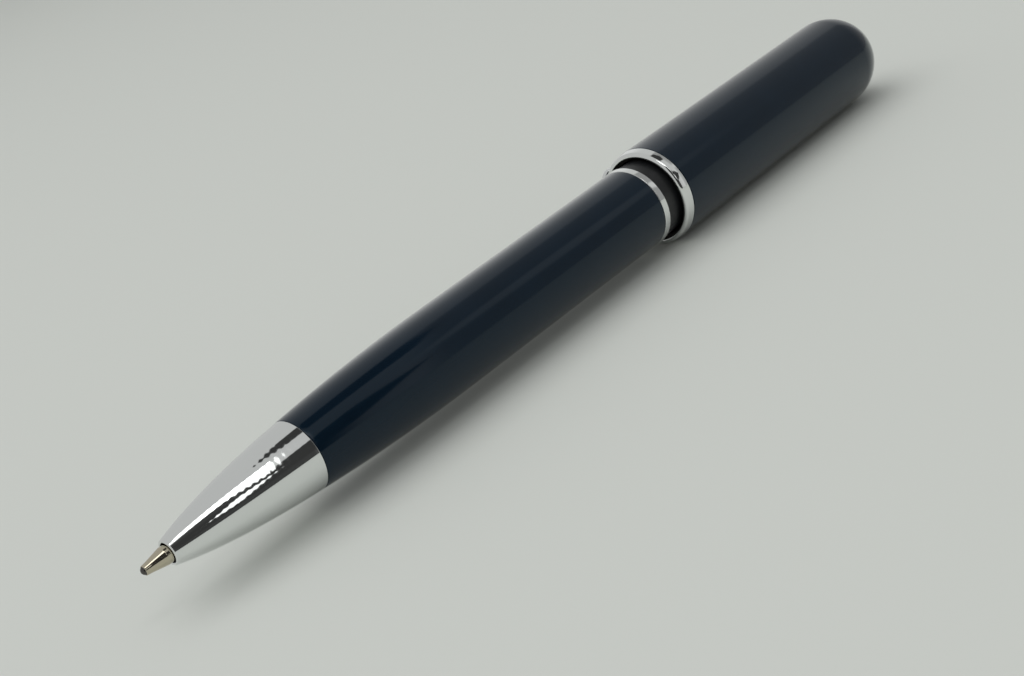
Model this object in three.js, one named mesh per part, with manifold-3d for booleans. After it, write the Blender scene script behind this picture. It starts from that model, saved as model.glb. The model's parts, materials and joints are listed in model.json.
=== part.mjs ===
// A stout twist-action ballpoint pen: bright nose cone, dark lacquered lower barrel, black centre
// sleeve between two bright rings, and a wider dark upper barrel with a domed end and a pocket clip.
// Millimetres, +Z up. The pen lies along X with its writing tip towards -X, as on a table.
// It stands in its writing position. Turning the upper barrel draws the refill in.
import * as THREE from 'three';
import { mergeVertices } from 'three/addons/utils/BufferGeometryUtils.js';
import Module from 'manifold-3d';

const wasm = await Module();
wasm.setup();

// Lengths along the axis
const tipShown = 3.35;          // refill point in front of the nose mouth
const noseLength = 18.35;       // nose mouth to the seam with the lower barrel
const taperLength = 24.3;       // tapering front part of the lower barrel
const trimRingWidth = 0.95;
const sleeveShown = 2.3;        // black sleeve seen between the two bright rings
const bandWidth = 1.5;
const upperLength = 53.53;      // upper barrel from its front edge to the end of the dome
const domeLength = 7.2;
const seam = 0.05;              // gap left between pieces that are screwed face to face
const bandGroove = 0.12;        // fine dark line behind the centre band

// Refill
const ballRadius = 0.5;
const pointRadius = 1.03;
const pointConeLength = 2.75;   // ball to the end of the point's cone
const pointLength = 5.6;        // ball to the point's shoulder
const pointStem = 3.0;
const stemRadius = 0.95;
const neckRadius = 1.5;
const neckLength = 13.9;
const refillRadius = 2.95;
const refillWall = 0.35;
const refillFlange = 1.0;
const refillLength = 98.0;
const refillReach = 15.4;       // refill behind the rear edge of the lower barrel
const plugHead = 3.4;
const plugSpigot = 4.0;
const plugBore = 0.8;
const inkLength = 46.0;
const plugSlotWidth = 1.0;
const plugSlotDepth = 2.0;

// Clearances between pieces
const fit = 0.05;               // pressed or glued pieces
const thread = 0.07;            // screwed pieces
const running = 0.15;           // pieces that turn or slide in each other
const refillPlay = 0.17;        // refill in the tail of the nose cone
const guidePlay = 0.35;         // refill in the liner and in the mechanism body

// Walls, from the refill outwards
const noseTailWall = 0.38;
const frontBushWall = 0.3;
const barrelWall = 0.5;         // lower barrel at its front edge
const bodyWall = 1.05;
const rearBushWall = 0.65;
const barrelRearWall = 0.5;
const sleeveWall = 1.0;
const liningWall = 0.57;
const upperWall = 0.58;
const domeWall = 7.2;           // dome turned nearly solid, which keeps the pen's weight over its rest face

// Radii that follow from the refill and the walls
const refillBore = refillRadius + refillPlay;
const noseTailRadius = refillBore + noseTailWall;
const frontBushBore = noseTailRadius + fit;
const frontBushRadius = frontBushBore + frontBushWall;
const frontBore = frontBushRadius + thread;
const seamRadius = frontBore + barrelWall;
const guideBore = refillRadius + guidePlay;
const bodyRadius = guideBore + bodyWall;
const rearBushBore = bodyRadius + thread;
const barrelBore = rearBushBore + rearBushWall + fit;
const barrelRadius = barrelBore + barrelRearWall;
const trimBore = bodyRadius + 2 * fit;
const sleeveRadius = trimBore + sleeveWall;
const liningBore = sleeveRadius + running;
const liningRadius = liningBore + liningWall;
const upperBore = liningRadius + fit;
const upperRadius = upperBore + upperWall;

// Outline of what shows
const mouthRadius = 1.5;
const taperRise = 0.15;         // lower barrel's rear edge above the end of its taper
const taperRadius = barrelRadius - taperRise;
const trimRingStep = 0.08;      // bright ring above the lower barrel
const trimRingRadius = barrelRadius + trimRingStep;
const bandStep = 0.01;          // centre band above the upper barrel
const bandMouthGap = 0.6;       // dark gap between the black sleeve and the centre band
const bandRadius = upperRadius + bandStep;
const bandMouthRadius = sleeveRadius + bandMouthGap;
const bandBore = liningRadius + fit;
const bandLip = 0.9;            // depth of the band's lip in front of the lining

// Return spring around the refill neck
const springSeat = 6.1;         // nose mouth to the seat of the spring
const wireRadius = 0.2;
const springRadius = neckRadius + 0.5;
const springCurls = 9;
const springBore = springRadius + 2 * wireRadius;

// Threaded inserts, liner and twist mechanism
const noseTail = 5.8;
const frontBushLength = 6.4;
const rearBushLength = 6.1;
const linerPlay = 0.1;
const bodyThread = 5.5;         // mechanism body screwed into the rear bush
const sleeveHidden = 6.7;       // black sleeve inside the upper barrel
const plungerLength = 8.8;
const plungerBore = 1.9;
const retraction = 5.5;
const twist = THREE.MathUtils.degToRad(150);
const pinRadius = 0.55;
const pinInset = 4.7;           // plunger front face to its cross pin
const camFront = 2.0;           // cam sleeve in front of the pin's slot
const camRear = 3.2;
const camBore = bodyRadius + running;
const camRadius = liningBore - 2 * fit;
const liningLength = 33.0;
const circlipWidth = 0.5;
const circlipDepth = 0.35;
const circlipStep = 0.6;        // circlip above the cam sleeve's bore
const circlipGap = THREE.MathUtils.degToRad(60);
const sealRadius = 0.3;         // section of the friction ring
const sealInset = 3.85;         // band front to the middle of the friction ring

// Pocket clip, on the far side of the pen and almost level with its axis
const clipTurn = THREE.MathUtils.degToRad(80);
const clipFront = 2.25;         // band front to the clip's free end
const clipRoot = 2.3;           // clip's rear end to the start of the dome
const clipLift = 0.7;           // gap between the clip and the upper barrel
const clipThickness = 0.95;
const clipWidth = 4.4;
const clipEndWidth = 4.1;
const clipCorner = 1.25;        // rounding of the free end's corners
const clipFlare = 1.3;          // how far the free end turns up
const clipPad = 3.6;            // free end to the middle of the pad that touches the barrel
const tangWidth = 2.6;
const tangLength = 2.0;
const tangInset = 2.2;          // clip's rear end to its tang
const tangDepth = 2.2;          // tang inside the upper barrel's outer surface
const anchorLength = 6.0;
const anchorWall = 4.6;

// The frame's origin is under the upper barrel, this far from the writing tip
const originFromTip = 100;
const sides = 36;
const innerSides = 24;

// Stations along the axis, from the writing tip
const mouth = tipShown;
const noseSeam = mouth + noseLength;
const barrelFront = noseSeam + seam;
const taperEnd = noseSeam + taperLength;
const barrelEnd = refillLength - refillReach;
const trimFront = barrelEnd + seam;
const sleeveFront = trimFront + trimRingWidth + seam;
const bandFront = sleeveFront + sleeveShown;
const bandRear = bandFront + bandWidth;
const upperFront = bandRear + bandGroove;
const upperEnd = upperFront + upperLength;
const domeStart = upperEnd - domeLength;
const sleeveRear = bandFront + sleeveHidden;
const plungerFront = refillLength + 0.2;
const pinPlace = plungerFront + pinInset;
const camStart = pinPlace - camFront - pinRadius;
const camEnd = pinPlace + retraction + camRear;
const circlipFront = camEnd + 0.25;
const bodyRear = circlipFront + circlipWidth + 1.4;
const flangeFront = pointLength + 0.1 + neckLength;
const tubeFront = flangeFront + refillFlange + fit;
const tubeRear = refillLength - plugHead - fit;

// A radius across the flats, as the radius of the corners
const acrossCorners = (radius, count) => radius / Math.cos(Math.PI / count);

// Closed outline of [station, radius] points, turned about the X axis
function revolve(outline, count = sides) {
  const points = outline.map(([x, r]) => new THREE.Vector2(acrossCorners(r, count), x));
  const onAxis = outline[0][1] === 0 && outline.at(-1)[1] === 0;
  if (!onAxis) points.push(points[0].clone());
  if (THREE.ShapeUtils.area(points) < 0) points.reverse();
  const lathe = new THREE.LatheGeometry(points, count, Math.PI / count);
  return lathe.rotateZ(-Math.PI / 2);
}

// A tube between two stations, with its outer and inner radius
function tube(front, rear, outer, inner, count = innerSides) {
  return revolve([[front, inner], [rear, inner], [rear, outer], [front, outer]], count);
}

// Points of a curve that leaves one point towards a middle point and arrives from it
function bend(from, middle, to, steps) {
  const curve = new THREE.QuadraticBezierCurve(
    new THREE.Vector2(...from), new THREE.Vector2(...middle), new THREE.Vector2(...to));
  return curve.getPoints(steps).map((p) => [p.x, p.y]);
}

// Quarter of an ellipse from [x, r] to the axis side, bulging towards +X
function quarter(x, r, length, height, steps) {
  const points = [];
  for (let i = 0; i <= steps; i += 1) {
    const angle = (Math.PI / 2) * (i / steps);
    const radius = r - height + height * Math.cos(angle);
    points.push([x + length * Math.sin(angle), i === steps ? r - height : radius]);
  }
  return points;
}

// Closed mesh as a solid for joining and cutting
function solid(geometry) {
  const bare = geometry.index ? geometry.toNonIndexed() : geometry.clone();
  bare.deleteAttribute('normal');
  bare.deleteAttribute('uv');
  const merged = mergeVertices(bare, 1e-4);
  const index = merged.index.array;
  const triVerts = [];
  for (let i = 0; i < index.length; i += 3) {
    const [a, b, c] = [index[i], index[i + 1], index[i + 2]];
    if (a !== b && b !== c && c !== a) triVerts.push(a, b, c);
  }
  return new wasm.Manifold(new wasm.Mesh({
    numProp: 3,
    vertProperties: new Float32Array(merged.attributes.position.array),
    triVerts: new Uint32Array(triVerts),
  }));
}

// Back from a solid to a mesh
function shape(manifold) {
  const mesh = manifold.getMesh();
  const geometry = new THREE.BufferGeometry();
  geometry.setAttribute('position', new THREE.BufferAttribute(new Float32Array(mesh.vertProperties), 3));
  geometry.setIndex(new THREE.BufferAttribute(new Uint32Array(mesh.triVerts), 1));
  geometry.computeVertexNormals();
  return geometry;
}

// A box between two corners
function block(low, high) {
  const size = high.map((value, i) => value - low[i]);
  const box = new THREE.BoxGeometry(...size);
  return box.translate(...low.map((value, i) => value + size[i] / 2));
}

// Volume inside a closed mesh, negative where its faces point inwards
function volume(position, index) {
  const [a, b, c] = [new THREE.Vector3(), new THREE.Vector3(), new THREE.Vector3()];
  let sum = 0;
  for (let i = 0; i < index.length; i += 3) {
    a.fromArray(position, 3 * index[i]);
    b.fromArray(position, 3 * index[i + 1]);
    c.fromArray(position, 3 * index[i + 2]);
    sum += a.dot(b.cross(c)) / 6;
  }
  return sum;
}

// A closed mesh through rings of equally many points, with flat ends
function loft(rings) {
  const count = rings[0].length;
  const position = rings.flat(2);
  const index = [];
  for (let i = 0; i + 1 < rings.length; i += 1) {
    for (let j = 0; j < count; j += 1) {
      const a = i * count + j;
      const b = i * count + ((j + 1) % count);
      index.push(a, b, b + count, a, b + count, a + count);
    }
  }
  const last = (rings.length - 1) * count;
  for (let j = 1; j + 1 < count; j += 1) {
    index.push(0, j + 1, j);
    index.push(last, last + j, last + j + 1);
  }
  if (volume(position, index) < 0) index.reverse();
  const geometry = new THREE.BufferGeometry();
  geometry.setAttribute('position', new THREE.Float32BufferAttribute(position, 3));
  geometry.setIndex(index);
  return geometry;
}

const pen = new THREE.Group();
pen.name = 'twist_pen';
pen.position.set(-originFromTip, 0, upperRadius);

const finishes = {
  lacquer: { color: 0x0b1622, roughness: 0.12, metalness: 0.0 },
  chrome: { color: 0xd9dcdc, roughness: 0.07, metalness: 1.0 },
  nickel: { color: 0xb9b09a, roughness: 0.22, metalness: 1.0 },
  brass: { color: 0xb08d45, roughness: 0.35, metalness: 1.0 },
  steel: { color: 0x9fa3a6, roughness: 0.3, metalness: 1.0 },
  carbide: { color: 0x4a4a4c, roughness: 0.25, metalness: 1.0 },
  blackBrass: { color: 0x141312, roughness: 0.42, metalness: 1.0 },
  blackPlastic: { color: 0x0d0d0f, roughness: 0.45, metalness: 0.0 },
  whitePlastic: { color: 0xd8d6cc, roughness: 0.5, metalness: 0.0 },
  rubber: { color: 0x151515, roughness: 0.8, metalness: 0.0 },
  ink: { color: 0x10183c, roughness: 0.3, metalness: 0.0 },
};

function add(name, geometry, finish) {
  const mesh = new THREE.Mesh(geometry, new THREE.MeshStandardMaterial(finishes[finish]));
  mesh.name = name;
  pen.add(mesh);
  return mesh;
}

// Nose cone: a bullet outline outside, and steps inside for the point, the spring and the tube
function noseCone() {
  const middle = [mouth + 0.36 * noseLength, 3.48];
  const outside = bend([mouth + 0.12, mouthRadius], middle, [noseSeam, seamRadius], 8);
  const pointBore = pointRadius + running;
  const neckBore = neckRadius + running;
  const seat = mouth + springSeat;
  const tubeStep = flangeFront - 1.4;
  const tail = noseSeam + noseTail;
  return revolve([
    [mouth, mouthRadius - 0.14], ...outside,
    [noseSeam, noseTailRadius], [tail, noseTailRadius], [tail, refillBore],
    [tubeStep, refillBore], [tubeStep, springBore], [seat, springBore], [seat, neckBore],
    [pointLength - 0.15, neckBore], [pointLength - 0.45, pointBore], [mouth, pointBore],
  ]);
}

// Lower barrel: brass tube that tapers towards the nose, with a stepped bore
function lowerBarrel() {
  const middle = [noseSeam + 0.486 * taperLength, taperRadius - 0.04];
  const taper = bend([barrelFront, seamRadius], middle, [taperEnd, taperRadius], 7);
  const boreStep = noseSeam + noseTail + 2;
  return revolve([
    ...taper, [barrelEnd, barrelRadius], [barrelEnd, barrelBore],
    [taperEnd - 1, barrelBore], [boreStep, frontBore], [barrelFront, frontBore],
  ]);
}

// Bright ring clamped between the lower barrel and the black sleeve
function lowerTrimRing() {
  const rear = trimFront + trimRingWidth;
  const edge = 0.12;
  return revolve([
    [trimFront, trimBore], [trimFront, trimRingRadius - edge], [trimFront + edge, trimRingRadius],
    [rear - edge, trimRingRadius], [rear, trimRingRadius - edge], [rear, trimBore],
  ]);
}

// Black sleeve: shows between the rings and guides the upper barrel, with a groove for its seal
function centreSleeve() {
  const seal = bandFront + sealInset;
  const half = sealRadius + 0.1;
  const grooveRadius = sleeveRadius - 2 * sealRadius;
  return revolve([
    [sleeveFront, trimBore], [sleeveFront, sleeveRadius], [seal - half, sleeveRadius],
    [seal - half, grooveRadius], [seal + half, grooveRadius], [seal + half, sleeveRadius],
    [sleeveRear, sleeveRadius], [sleeveRear, trimBore],
  ]);
}

// Rubber ring in the sleeve's groove that gives the twist its drag
function frictionRing() {
  const middle = bandFront + sealInset;
  const centre = sleeveRadius + 2 * fit - sealRadius;
  const section = [];
  for (let i = 0; i < 8; i += 1) {
    const angle = (i + 0.5) * (Math.PI / 4);
    section.push([middle + sealRadius * Math.cos(angle), centre + sealRadius * Math.sin(angle)]);
  }
  return revolve(section, innerSides);
}

// Centre band: bright ring with a rounded lip, pressed on the front end of the lining
function centreBand() {
  const lip = bend([bandFront + 0.15, bandMouthRadius], [bandFront - 0.08, bandMouthRadius + 0.12],
    [bandFront + 0.2, bandMouthRadius + 0.42], 3);
  const shoulder = bend([bandFront + 0.2, bandMouthRadius + 0.42], [bandFront + 0.5, bandRadius],
    [bandFront + 1.0, bandRadius], 3);
  return revolve([
    ...lip, ...shoulder.slice(1), [bandRear, bandRadius], [bandRear, bandBore],
    [bandFront + bandLip, bandBore], [bandFront + bandLip, bandMouthRadius],
  ]);
}

// Upper barrel: drawn tube with a domed end and a slot for the tang of the clip
function upperBarrel() {
  const bore = upperBore;
  const outside = quarter(domeStart, upperRadius, domeLength, upperRadius, 9);
  const innerDome = domeStart - 2;
  const inside = quarter(innerDome, bore, upperEnd - domeWall - innerDome, bore, 6);
  const shell = revolve([...inside.reverse(), [upperFront, bore], [upperFront, upperRadius], ...outside]);
  const gap = running + 0.1;
  const slot = block(
    [tangFront - gap, -tangWidth / 2 - gap, bore - 1], [tangRear + gap, tangWidth / 2 + gap, upperRadius + 1]);
  return shape(solid(shell).subtract(solid(slot.rotateX(-clipTurn))));
}

// Thick ring inside the upper barrel that holds the tang of the clip
function clipAnchor() {
  const middle = (tangFront + tangRear) / 2;
  const outer = upperBore - fit - 0.06;
  const ring = tube(middle - anchorLength / 2, middle + anchorLength / 2, outer, outer - anchorWall);
  const gap = running;
  const slot = block(
    [tangFront - gap, -tangWidth / 2 - gap, 3.5], [tangRear + gap, tangWidth / 2 + gap, upperRadius]);
  return shape(solid(ring).subtract(solid(slot.rotateX(-clipTurn))));
}

// Pocket clip: a sprung bar with a turned-up rounded end, a pad, and a tang through the barrel
const clipStart = bandFront + clipFront;
const clipEnd = domeStart - clipRoot;
const tangRear = clipEnd - tangInset;
const tangFront = tangRear - tangLength;
function pocketClip() {
  const under = upperRadius + clipLift;
  const over = under + clipThickness;
  const pad = clipStart + clipPad;
  const side = new THREE.Shape();
  side.moveTo(clipEnd, under);
  side.lineTo(tangRear, under);
  side.lineTo(tangRear, upperRadius - tangDepth);
  side.lineTo(tangFront, upperRadius - tangDepth);
  side.lineTo(tangFront, under);
  side.lineTo(pad + 3.2, under);
  side.quadraticCurveTo(pad + 1.2, upperRadius + running, pad, upperRadius + running);
  side.quadraticCurveTo(pad - 1.4, upperRadius + running, clipStart, under + clipFlare - 0.4);
  side.lineTo(clipStart, under + clipFlare + 0.2);
  side.quadraticCurveTo(clipStart + 2.4, over, pad + 1.5, over);
  side.lineTo(clipEnd - 1.6, over);
  side.quadraticCurveTo(clipEnd, over, clipEnd, under + 0.3);
  side.closePath();
  const bar = new THREE.ExtrudeGeometry(side, { depth: clipWidth, bevelEnabled: false, curveSegments: 4 });
  bar.translate(0, 0, -clipWidth / 2);
  bar.rotateX(Math.PI / 2);
  const half = clipWidth / 2;
  const endHalf = clipEndWidth / 2;
  const plan = new THREE.Shape();
  plan.moveTo(clipEnd + 1, -half);
  plan.lineTo(clipEnd + 1, half);
  plan.lineTo(clipStart + 8, half);
  plan.lineTo(clipStart + clipCorner, endHalf);
  plan.absarc(clipStart + clipCorner, endHalf - clipCorner, clipCorner, Math.PI / 2, Math.PI, false);
  plan.absarc(clipStart + clipCorner, clipCorner - endHalf, clipCorner, Math.PI, 1.5 * Math.PI, false);
  plan.lineTo(clipStart + 8, -half);
  plan.closePath();
  const cutter = new THREE.ExtrudeGeometry(plan, { depth: 20, bevelEnabled: false, curveSegments: 8 });
  const sideGap = (clipWidth - tangWidth) / 2;
  let clip = solid(bar).intersect(solid(cutter));
  for (const turn of [-1, 1]) {
    const low = turn < 0 ? -half - 1 : half - sideGap;
    const waste = block([tangFront - 0.5, low, 0], [tangRear + 0.5, low + sideGap + 1, under]);
    clip = clip.subtract(solid(waste));
  }
  return shape(clip);
}

// Refill point: cone with a cup and lip that hold the ball, and a stem in the neck
function refillPoint() {
  const centre = ballRadius;
  const back = 2 * ballRadius + 0.06;
  return revolve([
    [centre - 0.2, ballRadius - 0.015], [centre - 0.2, 0.57], [pointConeLength, pointRadius],
    [pointLength, pointRadius], [pointLength, stemRadius], [pointLength + pointStem, stemRadius],
    [pointLength + pointStem, 0.55], [3.0, 0.55], [2.6, 0.2], [back, 0.2],
    [back, ballRadius + 0.07], [centre - 0.05, ballRadius + 0.07],
  ], innerSides);
}

// Neck of the refill: carries the spring, and closes the front of the ink tube
function refillNeck() {
  const front = pointLength + 0.1;
  const stemBore = stemRadius + fit;
  const spigot = refillRadius - refillWall - fit;
  const flangeRear = flangeFront + refillFlange;
  return revolve([
    [front, stemBore], [front, neckRadius - 0.25], [front + 0.6, neckRadius], [flangeFront, neckRadius],
    [flangeFront, refillRadius], [flangeRear, refillRadius], [flangeRear, spigot],
    [flangeRear + 3.5, spigot], [flangeRear + 3.5, stemBore],
  ], innerSides);
}

function refillEndPlug() {
  const spigot = refillRadius - refillWall - fit;
  const head = refillLength - plugHead;
  const plug = revolve([
    [head - plugSpigot, plugBore], [head - plugSpigot, spigot], [head, spigot], [head, refillRadius],
    [refillLength, refillRadius], [refillLength, plugBore],
  ], innerSides);
  let crown = solid(plug);
  for (const turn of [0, Math.PI / 2]) {
    const slot = block([refillLength - plugSlotDepth, -plugSlotWidth / 2, -5],
      [refillLength + 1, plugSlotWidth / 2, 5]);
    crown = crown.subtract(solid(slot.rotateX(turn)));
  }
  return shape(crown);
}

function inkColumn() {
  const front = flangeFront + refillFlange + 3.8;
  const radius = refillRadius - refillWall - 0.2;
  return revolve([[front, 0], [front, radius], [front + inkLength, radius], [front + inkLength, 0]], innerSides);
}

// Return spring: one helix of round wire between the nose's seat and the refill's flange
function returnSpring() {
  const front = mouth + springSeat + 0.1 + wireRadius;
  const rear = flangeFront - 0.1 - wireRadius;
  const stepsPerCurl = 8;
  const steps = springCurls * stepsPerCurl;
  const rings = [];
  const path = [];
  for (let i = 0; i <= steps; i += 1) {
    const angle = (i / stepsPerCurl) * 2 * Math.PI;
    const x = front + (rear - front) * (i / steps);
    path.push(new THREE.Vector3(x, springRadius * Math.sin(angle), springRadius * Math.cos(angle)));
    const ring = [];
    for (let j = 0; j < 5; j += 1) {
      const around = (j / 5) * 2 * Math.PI;
      const radius = springRadius + wireRadius * Math.cos(around);
      ring.push([x + wireRadius * Math.sin(around), radius * Math.sin(angle), radius * Math.cos(angle)]);
    }
    rings.push(ring);
  }
  let least = Infinity;
  for (let i = 0; i < path.length; i += 1) {
    for (let j = i + stepsPerCurl / 2; j < path.length; j += 1) {
      least = Math.min(least, path[i].distanceTo(path[j]) - 2 * wireRadius);
    }
  }
  console.log(`return_spring: least gap between curls ${least.toFixed(2)} mm`);
  return loft(rings);
}

// Mechanism body: tube with a straight slot for the cross pin and a groove for the circlip
function mechanismBody() {
  const front = barrelEnd - bodyThread;
  const groove = bodyRadius - circlipDepth;
  const body = revolve([
    [front, guideBore], [front, bodyRadius], [circlipFront - fit, bodyRadius], [circlipFront - fit, groove],
    [circlipFront + circlipWidth + fit, groove], [circlipFront + circlipWidth + fit, bodyRadius],
    [bodyRear, bodyRadius], [bodyRear, guideBore],
  ], innerSides);
  const side = pinRadius + running;
  const slot = block([pinPlace - side, -side, guideBore - 1], [pinPlace + retraction + side, side, bodyRadius + 1]);
  return shape(solid(body).subtract(solid(slot)));
}

// Plunger that pushes the refill, with a hole for its cross pin
function plunger() {
  const rear = plungerFront + plungerLength;
  const radius = guideBore - running;
  const cup = revolve([
    [plungerFront, 0], [plungerFront, radius], [rear, radius], [rear, plungerBore],
    [pinPlace + 1.2, plungerBore], [pinPlace + 1.2, 0],
  ], innerSides);
  const hole = new THREE.CylinderGeometry(pinRadius + fit, pinRadius + fit, 5, 12);
  hole.rotateX(Math.PI / 2).translate(pinPlace, 0, 0.8 + 2.5);
  return shape(solid(cup).subtract(solid(hole)));
}

function camPin() {
  const inner = 1.0;
  const outer = camRadius - 0.3;
  const pin = new THREE.CylinderGeometry(pinRadius, pinRadius, outer - inner, 12);
  return pin.rotateX(Math.PI / 2).translate(pinPlace, 0, (inner + outer) / 2);
}

// Cam sleeve: its helical slot drives the cross pin as the upper barrel turns
function camSleeve() {
  const ring = tube(camStart, camEnd, camRadius, camBore);
  const halfWidth = 1.2 * pinRadius + running;
  const dwell = THREE.MathUtils.degToRad(10);
  const steps = 24;
  const rings = [];
  for (let i = 0; i <= steps; i += 1) {
    const angle = -dwell + (twist + 2 * dwell) * (i / steps);
    const share = THREE.MathUtils.clamp(angle / twist, 0, 1);
    const x = pinPlace + retraction * share;
    const section = [[x - halfWidth, camBore - 0.6], [x + halfWidth, camBore - 0.6],
      [x + halfWidth, camRadius + 0.6], [x - halfWidth, camRadius + 0.6]];
    rings.push(section.map(([at, r]) => [at, r * Math.sin(angle), r * Math.cos(angle)]));
  }
  return shape(solid(ring).subtract(solid(loft(rings))));
}

// Circlip that keeps the cam sleeve on the mechanism body
function retainingRing() {
  const inner = bodyRadius - circlipDepth + fit + 0.04;
  const outline = new THREE.Shape();
  const from = circlipGap / 2;
  const to = 2 * Math.PI - circlipGap / 2;
  outline.absarc(0, 0, camBore + circlipStep, from, to, false);
  outline.absarc(0, 0, inner, to, from, true);
  outline.closePath();
  const ring = new THREE.ExtrudeGeometry(outline, { depth: circlipWidth, bevelEnabled: false, curveSegments: 20 });
  return ring.rotateY(Math.PI / 2).translate(circlipFront, 0, 0);
}

// Nose and refill
add('nose_cone', noseCone(), 'chrome');
const ball = new THREE.SphereGeometry(ballRadius, 12, 8);
add('writing_ball', ball.translate(ballRadius, 0, 0), 'carbide');
add('refill_point', refillPoint(), 'nickel');
add('refill_neck', refillNeck(), 'brass');
add('refill_tube', tube(tubeFront, tubeRear, refillRadius, refillRadius - refillWall), 'steel');
add('refill_end_plug', refillEndPlug(), 'whitePlastic');
add('ink_column', inkColumn(), 'ink');
add('return_spring', returnSpring(), 'steel');

// Lower barrel
add('lower_barrel', lowerBarrel(), 'lacquer');
const frontBushFront = noseSeam + 0.5;
add('front_bush', tube(frontBushFront, frontBushFront + frontBushLength, frontBushRadius, frontBushBore), 'brass');
const rearBushRear = barrelEnd - 0.2;
const rearBushFront = rearBushRear - rearBushLength;
add('rear_bush', tube(rearBushFront, rearBushRear, barrelBore - fit, rearBushBore), 'brass');
const linerRear = rearBushFront - 0.3;
add('barrel_liner', tube(taperEnd, linerRear, barrelBore - linerPlay, guideBore), 'whitePlastic');
add('lower_trim_ring', lowerTrimRing(), 'chrome');

// Twist mechanism
add('mechanism_body', mechanismBody(), 'brass');
add('centre_sleeve', centreSleeve(), 'blackPlastic');
add('friction_ring', frictionRing(), 'rubber');
add('plunger', plunger(), 'whitePlastic');
add('cam_pin', camPin(), 'steel');
add('cam_sleeve', camSleeve(), 'whitePlastic');
add('retaining_ring', retainingRing(), 'steel');

// Upper barrel and clip
add('centre_band', centreBand(), 'chrome');
add('upper_barrel', upperBarrel(), 'lacquer');
const liningFront = bandFront + bandLip + fit;
add('upper_lining', tube(liningFront, liningFront + liningLength, liningRadius, liningBore), 'blackBrass');
add('clip_anchor', clipAnchor(), 'brass');
const clip = add('pocket_clip', pocketClip(), 'chrome');
clip.rotation.x = -clipTurn;

export default pen;
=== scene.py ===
# %% [markdown]
# # A twist-action ballpoint pen, dressed for its portrait
#
# The pen lies on a pale surface with its writing tip towards us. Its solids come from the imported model,
# which is faceted. Here each of them gets the smooth surface and the finish that the real piece has:
# bright plating, deep dark lacquer, turned nickel silver, black moulded plastic.
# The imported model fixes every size, so the first step is to load it and to read its own box.

# %% Load the frame
import json
import math

import bmesh
import bpy
from mathutils import Matrix, Quaternion, Vector

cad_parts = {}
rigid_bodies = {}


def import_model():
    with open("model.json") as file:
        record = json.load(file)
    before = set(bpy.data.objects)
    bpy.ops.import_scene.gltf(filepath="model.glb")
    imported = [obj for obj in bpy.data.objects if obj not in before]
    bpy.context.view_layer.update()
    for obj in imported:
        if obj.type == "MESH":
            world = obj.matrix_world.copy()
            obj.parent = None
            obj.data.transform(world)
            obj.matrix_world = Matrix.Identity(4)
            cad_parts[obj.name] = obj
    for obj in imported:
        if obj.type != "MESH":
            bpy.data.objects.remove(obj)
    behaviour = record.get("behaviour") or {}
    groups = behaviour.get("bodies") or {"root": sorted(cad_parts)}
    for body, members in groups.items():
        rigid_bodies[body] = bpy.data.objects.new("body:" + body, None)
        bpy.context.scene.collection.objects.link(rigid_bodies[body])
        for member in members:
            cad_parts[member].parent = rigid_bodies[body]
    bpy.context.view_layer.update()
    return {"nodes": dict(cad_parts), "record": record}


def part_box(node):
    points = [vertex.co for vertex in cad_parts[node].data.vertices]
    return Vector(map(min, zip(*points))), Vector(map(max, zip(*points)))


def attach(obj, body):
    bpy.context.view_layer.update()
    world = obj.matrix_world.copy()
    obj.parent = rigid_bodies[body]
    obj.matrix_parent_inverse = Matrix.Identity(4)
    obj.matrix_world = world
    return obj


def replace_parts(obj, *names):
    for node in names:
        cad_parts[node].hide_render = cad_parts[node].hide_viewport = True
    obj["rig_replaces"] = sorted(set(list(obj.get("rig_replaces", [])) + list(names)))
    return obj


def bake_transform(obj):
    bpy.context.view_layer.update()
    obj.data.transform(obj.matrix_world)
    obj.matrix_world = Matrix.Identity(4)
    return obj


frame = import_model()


# %% [markdown]
# ## Places along the pen
#
# Sizes are in millimetres, measured from the writing tip, as a pen maker would give them. A small
# function turns such a station into a place on the pen's axis, in the frame whose origin is on the
# surface under the upper barrel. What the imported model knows, such as where a ring starts, is read
# from it.

# %% Places along the pen
MM = 0.001
TIP_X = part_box("writing_ball")[0][0]
AXIS_Z = (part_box("upper_barrel")[0][2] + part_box("upper_barrel")[1][2]) / 2


def on_axis(station):
    """The place on the pen's axis at a station."""
    return Vector((TIP_X + station * MM, 0.0, AXIS_Z))


def stations(node):
    """First and last station of a node, in mm from the writing tip."""
    low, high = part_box(node)
    return (low[0] - TIP_X) / MM, (high[0] - TIP_X) / MM


def outer_radius(node):
    """A turned node's radius across its flats, in mm."""
    low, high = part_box(node)
    return (high[2] - low[2]) / 2 / MM


for name in ("nose_cone", "lower_barrel", "lower_trim_ring", "centre_sleeve", "centre_band", "upper_barrel"):
    print(name, [round(s, 2) for s in stations(name)], round(outer_radius(name), 3))

# %% [markdown]
# ## The camera
#
# Blender's camera looks along its own -Z, with +Y up in the picture. Three directions and a place say
# everything, so they are written as the columns of a matrix. They were fitted to the edges of the pen
# in the photograph. The pen's own frame is level, and the pen slopes in the picture, so the camera
# leans to one side.

# %% Camera
CAMERA_PLACE_MM = Vector((-155.73, -131.80, 68.64))
TO_THE_RIGHT = Vector((0.63373973, -0.70045997, -0.32822214))
TO_THE_TOP = Vector((0.48461253, 0.02879307, 0.87425491))
BACKWARDS = Vector((-0.60293005, -0.71311064, 0.35769900))
FOCAL_LENGTH_MM = 53.16
SENSOR_WIDTH_MM = 36.0
NEAREST_SEEN_MM = 5

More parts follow.
